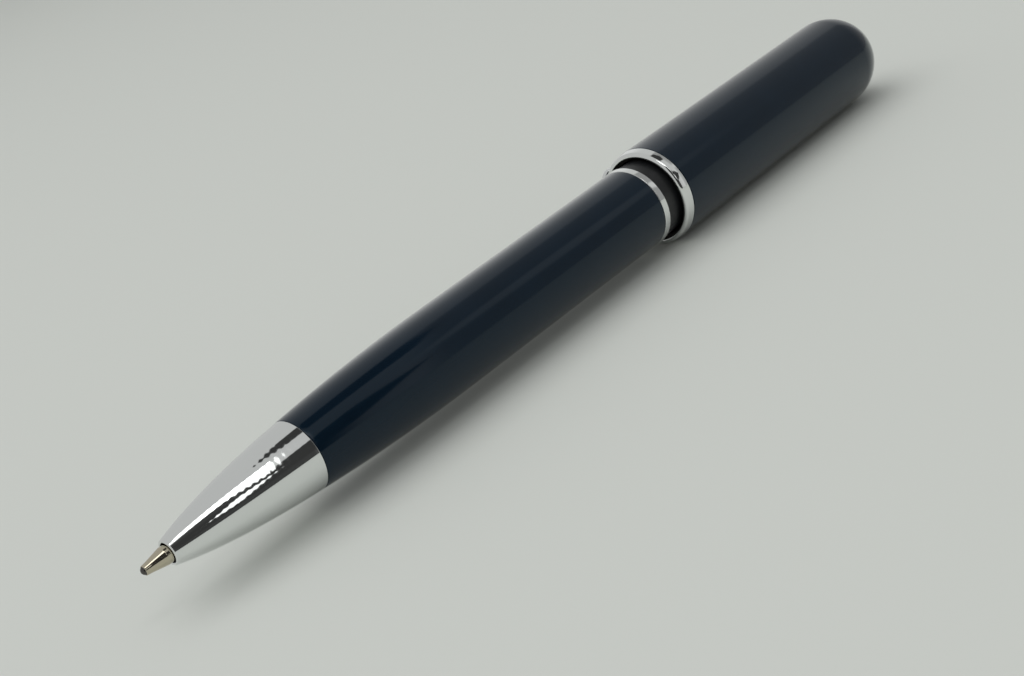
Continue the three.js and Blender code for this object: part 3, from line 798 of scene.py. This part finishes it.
BELOW_THE_WALL, ABOVE_THE_WALL = 4.5, 8.0
cut_slot(upper_barrel, box_corners(
    TANG_FRONT - SLOT_ROOM, TANG_REAR + SLOT_ROOM, TANG_WIDTH / 2 + SLOT_ROOM,
    BELOW_THE_WALL, ABOVE_THE_WALL, CLIP_ACROSS, CLIP_OUT))

# %% [markdown]
# ## Pocket clip
#
# The clip is stamped from spring brass and plated: a bar that narrows to a rounded free end, which turns
# up to slide over cloth, and a pad that presses on the barrel. It isn't turned, so it is lofted: a
# rounded cross-section is drawn at each station, and neighbouring sections are joined by faces.

# %% Pocket clip
CLIP_FRONT = BAND_FRONT + 2.25
CLIP_END = DOME_START - 2.3
CLIP_UNDER = UPPER_RADIUS + 0.7
CLIP_OVER = CLIP_UNDER + 0.95
CLIP_PAD = CLIP_FRONT + 3.6
PAD_HEIGHT = UPPER_RADIUS + 0.15
BAR_START = CLIP_FRONT + 8
ROOT_CURVE = 1.6
CORNER = 1.25
END_HALF = 2.05
BAR_HALF = 2.2
SQUARENESS = 0.32       # 1 is an ellipse, and near 0 is a rectangle
CROWN = 0.10


def between(x, rows):
    """Straight-line value at x in rows of (x, value)."""
    for (x0, v0), (x1, v1) in zip(rows, rows[1:]):
        if x <= x1:
            return v0 + (v1 - v0) * max(0.0, (x - x0) / (x1 - x0))
    return rows[-1][1]


UNDERSIDE = curve_points((CLIP_FRONT, CLIP_UNDER + 0.9), (CLIP_PAD - 1.4, PAD_HEIGHT),
                         (CLIP_PAD, PAD_HEIGHT), 12)
UNDERSIDE += curve_points((CLIP_PAD, PAD_HEIGHT), (CLIP_PAD + 1.2, PAD_HEIGHT),
                          (CLIP_PAD + 3.2, CLIP_UNDER), 12)[1:] + [(CLIP_END, CLIP_UNDER)]
TOPSIDE = curve_points((CLIP_FRONT, CLIP_UNDER + 1.5), (CLIP_FRONT + 2.4, CLIP_OVER),
                       (CLIP_PAD + 1.5, CLIP_OVER), 12)
TOPSIDE += curve_points((CLIP_END - ROOT_CURVE, CLIP_OVER), (CLIP_END, CLIP_OVER),
                        (CLIP_END, CLIP_UNDER + 0.3), 10)


def half_width(x):
    """Half the clip's width: rounded corners at the free end, then slowly wider, and rounded at the root."""
    from_end = x - CLIP_FRONT
    if from_end < CORNER:
        return END_HALF - CORNER + math.sqrt(max(0.0, CORNER ** 2 - (CORNER - from_end) ** 2))
    bar = between(x, [(CLIP_FRONT + CORNER, END_HALF), (BAR_START, BAR_HALF), (CLIP_END, BAR_HALF)])
    return bar - 0.35 * max(0.0, 1 - (CLIP_END - x) / 0.8) ** 2


def clip_section(x, points=32):
    """A rounded cross-section at a station: flat sides, soft edges, and a slightly crowned face."""
    low, high, half = between(x, UNDERSIDE), between(x, TOPSIDE), half_width(x)
    middle, thick = (low + high) / 2, (high - low) / 2
    ring = []
    for i in range(points):
        angle = math.tau * i / points
        c, s = math.cos(angle), math.sin(angle)
        across = half * math.copysign(abs(c) ** SQUARENESS, c)
        out = middle + thick * math.copysign(abs(s) ** SQUARENESS, s)
        if s > 0:
            roundness = 1 - (across / max(half, 1e-6)) ** 2
            out += CROWN * (roundness * min(1.0, half / BAR_HALF) - 1)
        ring.append(on_axis(x) + CLIP_ACROSS * (across * MM) + CLIP_OUT * (out * MM))
    return ring


def loft(name, rings):
    """A closed mesh through rings of equally many points."""
    work = bmesh.new()
    rows = [[work.verts.new(p) for p in ring] for ring in rings]
    for row, following in zip(rows, rows[1:]):
        for j in range(len(row)):
            k = (j + 1) % len(row)
            work.faces.new((row[j], row[k], following[k], following[j]))
    work.faces.new(rows[0])
    work.faces.new(rows[-1])
    bmesh.ops.remove_doubles(work, verts=work.verts, dist=MERGE_DISTANCE)
    bmesh.ops.recalc_face_normals(work, faces=work.faces)
    for face in work.faces:
        face.smooth = True
    mesh = bpy.data.meshes.new(name)
    work.to_mesh(mesh)
    work.free()
    return mesh


end_steps = [CLIP_FRONT + CORNER * (1 - math.cos(math.pi / 2 * i / 14)) for i in range(15)]
pad_steps = [CLIP_FRONT + CORNER + (BAR_START - CLIP_FRONT - CORNER) * i / 20 for i in range(1, 21)]
bar_steps = [BAR_START + (CLIP_END - ROOT_CURVE - BAR_START) * i / 16 for i in range(1, 17)]
root_steps = [CLIP_END - ROOT_CURVE * math.cos(math.pi / 2 * i / 10) for i in range(1, 11)]
clip_rings = [clip_section(x) for x in end_steps + pad_steps + bar_steps + root_steps]
clip = link(bpy.data.objects.new("sprung_pocket_clip", loft("sprung_pocket_clip", clip_rings)))
print("clip:", len(clip.data.polygons), "faces,", round(CLIP_END - CLIP_FRONT, 2), "mm long")

# %% [markdown]
# The tang is a short square tongue under the clip's root, through the barrel and into the anchor. It is
# a second shell in the same mesh, with bevelled edges, sunk into the bar above it.

# %% Tang
tang_mesh = box_mesh("tang", box_corners(
    TANG_FRONT, TANG_REAR, TANG_WIDTH / 2, UPPER_RADIUS - 2.2, CLIP_UNDER + 0.3, CLIP_ACROSS, CLIP_OUT))
work = bmesh.new()
work.from_mesh(tang_mesh)
bmesh.ops.bevel(work, geom=work.edges[:], offset=0.15 * MM, segments=3, affect="EDGES")
for face in work.faces:
    face.smooth = True
work.from_mesh(clip.data)
work.to_mesh(clip.data)
work.free()
clip.data.materials.append(finish["bright_chrome"])
clip.data.set_sharp_from_angle(angle=math.radians(40))
dress(clip, "clip", "pocket_clip")
print("clip with tang:", len(clip.data.polygons), "faces")

# %% [markdown]
# ## Refill
#
# The point is turned from nickel silver. Its cone carries a short cylinder behind a fine groove, and its
# lip is rolled over the ball to hold it. The ball is a whole turned sphere, of which the lip leaves
# only a cap to see.

# %% Point and ball
BALL = 0.5
BALL_ROWS = 24
POINT_RADIUS = 1.03
POINT_LENGTH = 5.6
STEM = 0.95
steps = [math.pi * i / BALL_ROWS for i in range(BALL_ROWS + 1)]
ball_rows = [(BALL - BALL * math.cos(a), BALL * math.sin(a)) for a in steps]
ball_rows[0] = (0.0, 0.0)
ball_rows[-1] = (2 * BALL, 0.0)
turned("carbide_ball", ball_rows, "carbide", "ball", "writing_ball", sides=48)

point_outline = rounded([
    (BALL - 0.19, BALL - 0.01, 0.02), (BALL - 0.15, 0.565, 0.04), (1.1, 0.68, 0.2), (2.7, 1.0, 0.15),
    (2.82, POINT_RADIUS, 0.05), (3.5, POINT_RADIUS, 0.03), (3.56, POINT_RADIUS - 0.05, 0.02),
    (3.66, POINT_RADIUS - 0.05, 0.02), (3.72, POINT_RADIUS, 0.03), (POINT_LENGTH, POINT_RADIUS, 0.06),
    (POINT_LENGTH, STEM, 0.03), (8.6, STEM, 0.05), (8.6, 0.55, 0.05), (3.0, 0.55, 0.05), (2.6, 0.2, 0.03),
    (1.06, 0.2, 0.03), (1.06, BALL + 0.07, 0.03), (BALL - 0.05, BALL + 0.045, 0.02)])
turned("turned_refill_point", point_outline, "nickel_silver", "refill", "refill_point", sides=64)

# %% [markdown]
# Behind the point come the brass neck with its flange, the ink tube, its plug and the ink. The tube is
# rolled inwards round the plug, and the neck has the shallow ring that the crimp of the tube grips.

# %% Neck, tube, plug and ink
NECK_RADIUS = 1.5
FLANGE_FRONT = 19.6
REFILL_RADIUS = outer_radius("refill_tube")
SPIGOT = REFILL_RADIUS - 0.40
CRIMP = 22.6
CRIMP_RADIUS = REFILL_RADIUS - 0.1
TUBE_BORE = REFILL_RADIUS - 0.35
tube_front, tube_rear = stations("refill_tube")
turned("brass_refill_neck", rounded([
    (5.7, STEM + 0.05, 0.04), (5.7, 1.28, 0.05), (6.3, NECK_RADIUS, 0.1), (7.6, NECK_RADIUS, 0.04),
    (7.7, NECK_RADIUS - 0.12, 0.03), (8.0, NECK_RADIUS - 0.12, 0.03), (8.1, NECK_RADIUS, 0.04),
    (FLANGE_FRONT, NECK_RADIUS, 0.06), (FLANGE_FRONT, REFILL_RADIUS, 0.12),
    (FLANGE_FRONT + 1.0, REFILL_RADIUS, 0.08), (FLANGE_FRONT + 1.0, SPIGOT, 0.05),
    (FLANGE_FRONT + 4.5, SPIGOT, 0.1), (FLANGE_FRONT + 4.5, STEM + 0.05, 0.05)]),
    "turned_brass", "refill", "refill_neck", sides=72)
turned("steel_ink_tube", rounded([
    (tube_front, TUBE_BORE, 0.05), (tube_front, REFILL_RADIUS, 0.12),
    (CRIMP, REFILL_RADIUS, 0.1), (CRIMP + 0.15, CRIMP_RADIUS, 0.1),
    (CRIMP + 0.45, CRIMP_RADIUS, 0.1), (CRIMP + 0.6, REFILL_RADIUS, 0.1),
    (tube_rear, REFILL_RADIUS, 0.1), (tube_rear, TUBE_BORE, 0.05)]),
    "drawn_steel", "refill", "refill_tube", sides=96)
plug_front, plug_rear = stations("refill_end_plug")
plug = turned("slotted_end_plug", rounded([
    (plug_front, 0.8, 0.05), (plug_front, SPIGOT, 0.2), (plug_rear - 3.4, SPIGOT, 0.05),
    (plug_rear - 3.4, REFILL_RADIUS, 0.1), (plug_rear, REFILL_RADIUS, 0.25), (plug_rear, 0.8, 0.1)]),
    "white_plastic", "refill", "refill_end_plug", sides=72)
ink_front, ink_rear = stations("ink_column")
INK_RADIUS = REFILL_RADIUS - 0.55
meniscus = curve_points((ink_rear, INK_RADIUS), (ink_rear - 0.7, 0.5 * INK_RADIUS), (ink_rear - 0.7, 0.0), 8)
turned("blue_ink_column", [(ink_front, 0.0), (ink_front, INK_RADIUS * 0.95), (ink_front + 0.15, INK_RADIUS)]
       + meniscus, "ink", "refill", "ink_column", sides=48)

# %% The plug's crossed slots
UP = Vector((0, 0, 1))
SIDEWAYS = Vector((0, 1, 0))
SLOT_HALF, PAST_THE_PLUG = 0.5, 5.0
for wide, tall in ((SLOT_HALF, PAST_THE_PLUG), (PAST_THE_PLUG, SLOT_HALF)):
    cut_slot(plug, box_corners(plug_rear - 2.0, plug_rear + 1.0, wide, -tall, tall, SIDEWAYS, UP))

# %% [markdown]
# ## Return spring
#
# A compression spring is wire wound round a rod, with a dead coil at each end that touches its
# neighbour. It follows a path, so Geometry Nodes make it: a line of points is wound into a helix by
# Set Position, and a small circle is swept along it. How far along a point lies depends on how many of
# the turns so far are open, and how many belong to a dead end.

# %% Spring tree
POINTS_A_TURN = 40
WIRE_SIDES = 12
COIL_PITCH = 2.06       # from coil to coil where they touch, in wire radii


def spring_tree():
    tree, given = tree_with_sockets("wound_spring", {
        "Start": 0.0, "Length": 10 * MM, "Coil Radius": 2 * MM, "Wire Radius": 0.2 * MM, "Turns": 9.0,
        "Dead Turns": 1.0, "Axis Height": 0.0, "Finish": None})
    count = add_node(tree, MATH, (given["Turns"], POINTS_A_TURN), operation="MULTIPLY")[0]
    line = add_node(tree, "GeometryNodeMeshLine", {"Count": count, "Offset": (MM, 0, 0)})[0]
    index = add_node(tree, "GeometryNodeInputIndex")[0]
    steps = add_node(tree, MATH, (count, 1), operation="SUBTRACT")[0]
    share = add_node(tree, MATH, (index, steps), operation="DIVIDE")[0]
    wound = add_node(tree, MATH, (share, given["Turns"]), operation="MULTIPLY")[0]

    # the open coils share what length the dead coils leave
    touching = add_node(tree, MATH, (given["Wire Radius"], COIL_PITCH), operation="MULTIPLY")[0]
    dead = given["Dead Turns"]
    both_dead = add_node(tree, MATH, (dead, 2), operation="MULTIPLY")[0]
    open_turns = add_node(tree, MATH, (given["Turns"], both_dead), operation="SUBTRACT")[0]
    both_ends = add_node(tree, MATH, (both_dead, touching), operation="MULTIPLY")[0]
    open_length = add_node(tree, MATH, (given["Length"], both_ends), operation="SUBTRACT")[0]
    pitch = add_node(tree, MATH, (open_length, open_turns), operation="DIVIDE")[0]

    # the turns so far, split into open ones and those of the two dead ends
    past = add_node(tree, MATH, (wound, dead), operation="SUBTRACT")[0]
    middle = add_node(tree, "ShaderNodeClamp", {"Value": past, "Min": 0.0, "Max": open_turns})[0]
    at_ends = add_node(tree, MATH, (wound, middle), operation="SUBTRACT")[0]
    along_ends = add_node(tree, MATH, (at_ends, touching, given["Start"]), operation="MULTIPLY_ADD")[0]
    along = add_node(tree, MATH, (middle, pitch, along_ends), operation="MULTIPLY_ADD")[0]

    angle = add_node(tree, MATH, (wound, math.tau), operation="MULTIPLY")[0]
    helix = laid_round(tree, line, along, given["Coil Radius"], angle, given["Axis Height"])
    path = add_node(tree, "GeometryNodeMeshToCurve", {"Mesh": helix})
    ring = add_node(tree, "GeometryNodeCurvePrimitiveCircle", {
        "Resolution": WIRE_SIDES, "Radius": given["Wire Radius"]})
    swept = add_node(tree, "GeometryNodeCurveToMesh", {
        "Curve": path[0], "Profile Curve": ring[0], "Fill Caps": True})
    finish_tree(tree, swept[0], given["Finish"])
    return tree


# %% Return spring
WIRE_RADIUS = 0.2
spring_front, spring_rear = stations("return_spring")
spring_mesh = bpy.data.meshes.new("return_spring_wire")
spring = link(bpy.data.objects.new("return_spring_wire", spring_mesh))
run_tree(spring, spring_tree(), Start=TIP_X + (spring_front + WIRE_RADIUS) * MM,
         Length=(spring_rear - spring_front - 2 * WIRE_RADIUS) * MM, Coil_Radius=2.0 * MM,
         Wire_Radius=WIRE_RADIUS * MM, Turns=9.5, Dead_Turns=1.25, Axis_Height=AXIS_Z,
         Finish=finish["spring_steel"])
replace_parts(spring, "return_spring")
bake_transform(spring)

# %% [markdown]
# ## Inserts, liner and lining
#
# These tubes are hidden in the finished pen. They show when the nose cone is off, or when the pen is shown in
# section, so they get the same care: threads in the bushes, broken edges, real finishes, apart from the
# lining, whose near-black colour is painted shade for the dark gap at the band.

# %% Inserts and tubes
FRONT_THREAD = 3.55
REAR_THREAD = 4.42
IN_A_BORE = -0.6        # a thread in a bore is cut outwards, and less deep
LINER_BORE = 3.3
LINING_RADIUS = 6.17
LINING_BORE = 5.6
front_bush = stations("front_bush")
turned("threaded_front_bush", threaded(
    tube(*front_bush, FRONT_BORE - 0.07, FRONT_THREAD, 0.08), FRONT_THREAD, front_bush[0] + 0.5,
    front_bush[1] - 0.5, IN_A_BORE), "turned_brass", "lower_pen", "front_bush")
rear_bush = stations("rear_bush")
turned("threaded_rear_bush", threaded(
    tube(*rear_bush, BARREL_BORE - 0.05, REAR_THREAD, 0.08), REAR_THREAD, rear_bush[0] + 0.5,
    rear_bush[1] - 0.5, IN_A_BORE), "turned_brass", "lower_pen", "rear_bush")
turned("refill_guide_liner", tube(*stations("barrel_liner"), BARREL_BORE - 0.1, LINER_BORE, 0.2),
       "white_plastic", "lower_pen", "barrel_liner")
# the lining is near black as painted shade, so the gap at the band shows dark
turned("near_black_lining_painted_shade", tube(*stations("upper_lining"), LINING_RADIUS, LINING_BORE, 0.12),
       "blackened_brass", "upper_pen", "upper_lining")
SEAL_THICK = 0.3
SEAL_PROUD = 0.1
SEAL_ROWS = 20
steps = [math.tau * i / SEAL_ROWS for i in range(SEAL_ROWS)]
seal_rows = [(SEAL_MIDDLE + SEAL_THICK * math.cos(a),
              SLEEVE_RADIUS + SEAL_PROUD - SEAL_THICK + SEAL_THICK * math.sin(a)) for a in steps]
turned("rubber_friction_ring", seal_rows + seal_rows[:1], "seal_rubber", "lower_pen", "friction_ring")

# %% [markdown]
# ## Twist mechanism
#
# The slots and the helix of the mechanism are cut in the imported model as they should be, so those nodes
# stay, with a finish of their own. A node's faces are loose triangles and its finish reads Object
# coordinates, so all it needs is the material in its slot.

# %% Finishes for the nodes that stay
standing_for = {name for piece in bpy.data.objects for name in piece.get("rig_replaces", [])}
slots = {row["node"]: row["material_slot"] for row in frame["record"]["subparts"]}
for name, node in frame["nodes"].items():
    if name in standing_for:
        continue
    node.data.materials.clear()
    node.data.materials.append(finish[slots[name]])
    print(name, "keeps its shape and gets", finish[slots[name]].name)

# %% [markdown]
# ## Surface, light and backdrop
#
# The pen lies on a plain pale surface, which is also what its lower side mirrors. What makes gloss and
# chrome look real is what they mirror above it, so a studio is drawn in the world: a mid grey room with
# a pale far end, a darker far wall on the near side with a lighter streak in it, and a dark near side.
# Two dark panels that narrow to a point hang overhead and on the near side, and give the barrel its
# wedges. Two bright slits give the nose its white lines. It could be built from real panels and lamps,
# but a drawn one is quick, and every edge in it can be as soft as it has to be.
#
# Only camera, glossy and transmission rays see that picture. The light that falls on the pen and makes
# its shadow comes from an even grey world and a wide lamp high up, which is kept out of the mirrors. A
# small strip lamp near the pen gives the rippled white line on the nose.

# %% Floor


def pale_floor():
    """Matt paint on card: pale grey, with the faint tooth of the brush."""
    material, tree = new_material("matt_pale_card")
    tooth = add_node(tree, BUMP, {"Height": noise(tree, 0.8, 3.0), "Distance": 0.004 * MM})
    surface(tree, Base_Color=linear("#d5d8d3"), Roughness=0.7, Specular_IOR_Level=0.05,
            Normal=tooth["Normal"])
    return material


FLOOR_HALF = 6
corners = [(-FLOOR_HALF, -FLOOR_HALF, 0), (FLOOR_HALF, -FLOOR_HALF, 0),
           (FLOOR_HALF, FLOOR_HALF, 0), (-FLOOR_HALF, FLOOR_HALF, 0)]
floor_mesh = bpy.data.meshes.new("floor")
floor_mesh.from_pydata(corners, [], [(0, 1, 2, 3)])
floor_mesh.materials.append(pale_floor())
floor = link(bpy.data.objects.new("floor", floor_mesh))
print("floor is", floor.dimensions[0], "m wide")

# %% World: where the parts of the room are
#
# A direction is a unit vector, so each of its coordinates runs from -1 to 1. FAR is past all of them.
FAR = 2.0
SOFT_EDGE = 0.04
ROOM_LEVEL = 0.56
AMBIENT_LEVEL = 0.51

world = bpy.data.worlds.new("studio")
bpy.context.scene.world = world
world.use_nodes = True
sky = world.node_tree
sky.nodes.clear()
towards = add_node(sky, "ShaderNodeSeparateXYZ", (add_node(sky, COORDINATES)["Generated"],))


def within(value, low, high, soft):
    """1 where a value is between two others, and 0 outside, with soft ends."""
    rise = add_node(sky, MAP_RANGE, {"Value": value, "From Min": low - soft, "From Max": low + soft},
                    interpolation_type="SMOOTHSTEP")
    fall = add_node(sky, MAP_RANGE, {
        "Value": value, "From Min": high - soft, "From Max": high + soft, "To Min": 1.0, "To Max": 0.0},
        interpolation_type="SMOOTHSTEP")
    return add_node(sky, MATH, (rise["Result"], fall["Result"]), operation="MULTIPLY")[0]


# the far end is paler low down than high up
pale_level = add_node(sky, MIX, {
    "Factor": within(towards["Z"], 0.57, FAR, 0.15), "A": 0.74, "B": 0.60}, data_type="FLOAT")[0]
room = [(pale_level, within(towards["X"], 0.48, FAR, 0.06))]

# level, then the low and high ends in X, Y and Z
PATCHES = {
    "far end, away from us": (0.52, (0.70, FAR), (0.12, FAR), (-FAR, FAR)),
    "far end, on the near side": (0.32, (0.52, FAR), (-FAR, 0.12), (-FAR, FAR)),
    "lighter streak": (0.62, (0.50, 0.72), (-0.62, -0.44), (0.42, 0.66)),
    "near side, low": (0.05, (-FAR, 0.38), (-FAR, -0.60), (-FAR, 0.60)),
    "near side, high": (0.05, (-FAR, 0.22), (-FAR, -0.50), (-FAR, 0.84)),
}
for patch_level, x_ends, y_ends, z_ends in PATCHES.values():
    in_x = within(towards["X"], *x_ends, SOFT_EDGE)
    in_y = within(towards["Y"], *y_ends, SOFT_EDGE)
    in_z = within(towards["Z"], *z_ends, SOFT_EDGE)
    in_yz = add_node(sky, MATH, (in_y, in_z), operation="MULTIPLY")[0]
    room.append((patch_level, add_node(sky, MATH, (in_x, in_yz), operation="MULTIPLY")[0]))
print("plain parts of the room:", len(room))

# %% World: panels and slits that narrow to a point
#
# Level, the coordinate across the panel, its middle and half width there, where in X it starts and
# stops to keep that width, how fast it narrows before and after, and its highest Y
TAPERED = {
    "panel overhead": (0.04, "Y", -0.09, 0.19, 0.31, 0.52, 3.0, 6.0, 1.0),
    "panel on the near side": (0.04, "Z", 0.43, 0.22, 0.40, 0.40, 0.0, 1.83, -0.58),
    "long slit": (1.60, "Z", 0.80, 0.25, 0.24, 0.24, 1.9, 7.0, -0.46),
    "short slit": (1.40, "Z", 0.45, 0.14, 0.13, 0.13, 1.20, 1.20, -0.55),
}
for panel_level, across, middle, half, start, stop, before, after, y_top in TAPERED.values():
    to_start = add_node(sky, MATH, (start, towards["X"]), operation="SUBTRACT")[0]
    ahead = add_node(sky, MATH, (to_start, 0.0), operation="MAXIMUM")[0]
    from_stop = add_node(sky, MATH, (towards["X"], stop), operation="SUBTRACT")[0]
    past = add_node(sky, MATH, (from_stop, 0.0), operation="MAXIMUM")[0]
    off_middle = add_node(sky, MATH, (towards[across], middle), operation="SUBTRACT")[0]
    distance = add_node(sky, MATH, (off_middle,), operation="ABSOLUTE")[0]
    with_after = add_node(sky, MATH, (past, after, distance), operation="MULTIPLY_ADD")[0]
    reach = add_node(sky, MATH, (ahead, before, with_after), operation="MULTIPLY_ADD")[0]
    inside = add_node(sky, MATH, (within(reach, -1.0, half - 0.005, 0.015),
                                  within(towards["Y"], -FAR, y_top, 0.02)), operation="MULTIPLY")[0]
    room.append((panel_level, inside))

mirrored = ROOM_LEVEL
for part_level, inside in room:
    mirrored = add_node(sky, MIX, {"Factor": inside, "A": mirrored, "B": part_level}, data_type="FLOAT")[0]
rays = add_node(sky, "ShaderNodeLightPath")
seen = add_node(sky, MATH, (rays["Is Glossy Ray"], rays["Is Transmission Ray"]), operation="MAXIMUM")[0]
level = add_node(sky, MIX, {"Factor": seen, "A": AMBIENT_LEVEL, "B": mirrored}, data_type="FLOAT")[0]
level = add_node(sky, MIX, {"Factor": rays["Is Camera Ray"], "A": level, "B": 1.0}, data_type="FLOAT")[0]
backdrop = add_node(sky, "ShaderNodeBackground", {"Color": linear("#fdfefd"), "Strength": level})
add_node(sky, "ShaderNodeOutputWorld", {"Surface": backdrop[0]})
print("world tree:", len(sky.nodes), "nodes, for", len(room), "parts of the room")

# %% Lamps
LIT_PLACE = Vector((-0.03, 0, AXIS_Z))


def soft_lamp(name, direction, distance, size, watts, lean=0.0, along=0.0):
    """A rectangular lamp that faces the pen's middle, turned and shifted in its own plane."""
    data = bpy.data.lights.new(name, "AREA")
    data.shape = "RECTANGLE"
    data.size, data.size_y = size
    data.energy = watts
    lamp = link(bpy.data.objects.new(name, data))
    towards_lamp = Vector(direction).normalized()
    sideways = Vector((1, 0, 0)) - towards_lamp * towards_lamp.x
    sideways.normalize()
    sideways.rotate(Quaternion(towards_lamp, lean))
    upwards = towards_lamp.cross(sideways)
    turn = Matrix((sideways, upwards, towards_lamp)).transposed().to_4x4()
    lamp.matrix_world = Matrix.Translation(LIT_PLACE + towards_lamp * distance + sideways * along) @ turn
    return lamp


wide_lamp = soft_lamp("wide_lamp", direction=(-0.30, 0.24, 0.93), distance=1.5, size=(1.7, 1.35), watts=8.6)
wide_lamp.visible_glossy = False
soft_lamp("strip_lamp", direction=(0.05, -0.47, 0.83), distance=0.6, size=(0.285, 0.16), watts=0.285,
          lean=math.radians(-34), along=-0.0975)

# %% [markdown]
# ## View settings and the end
#
# Standard shows a colour as it was picked.

# %% View transform
bpy.context.scene.view_settings.view_transform = "Standard"
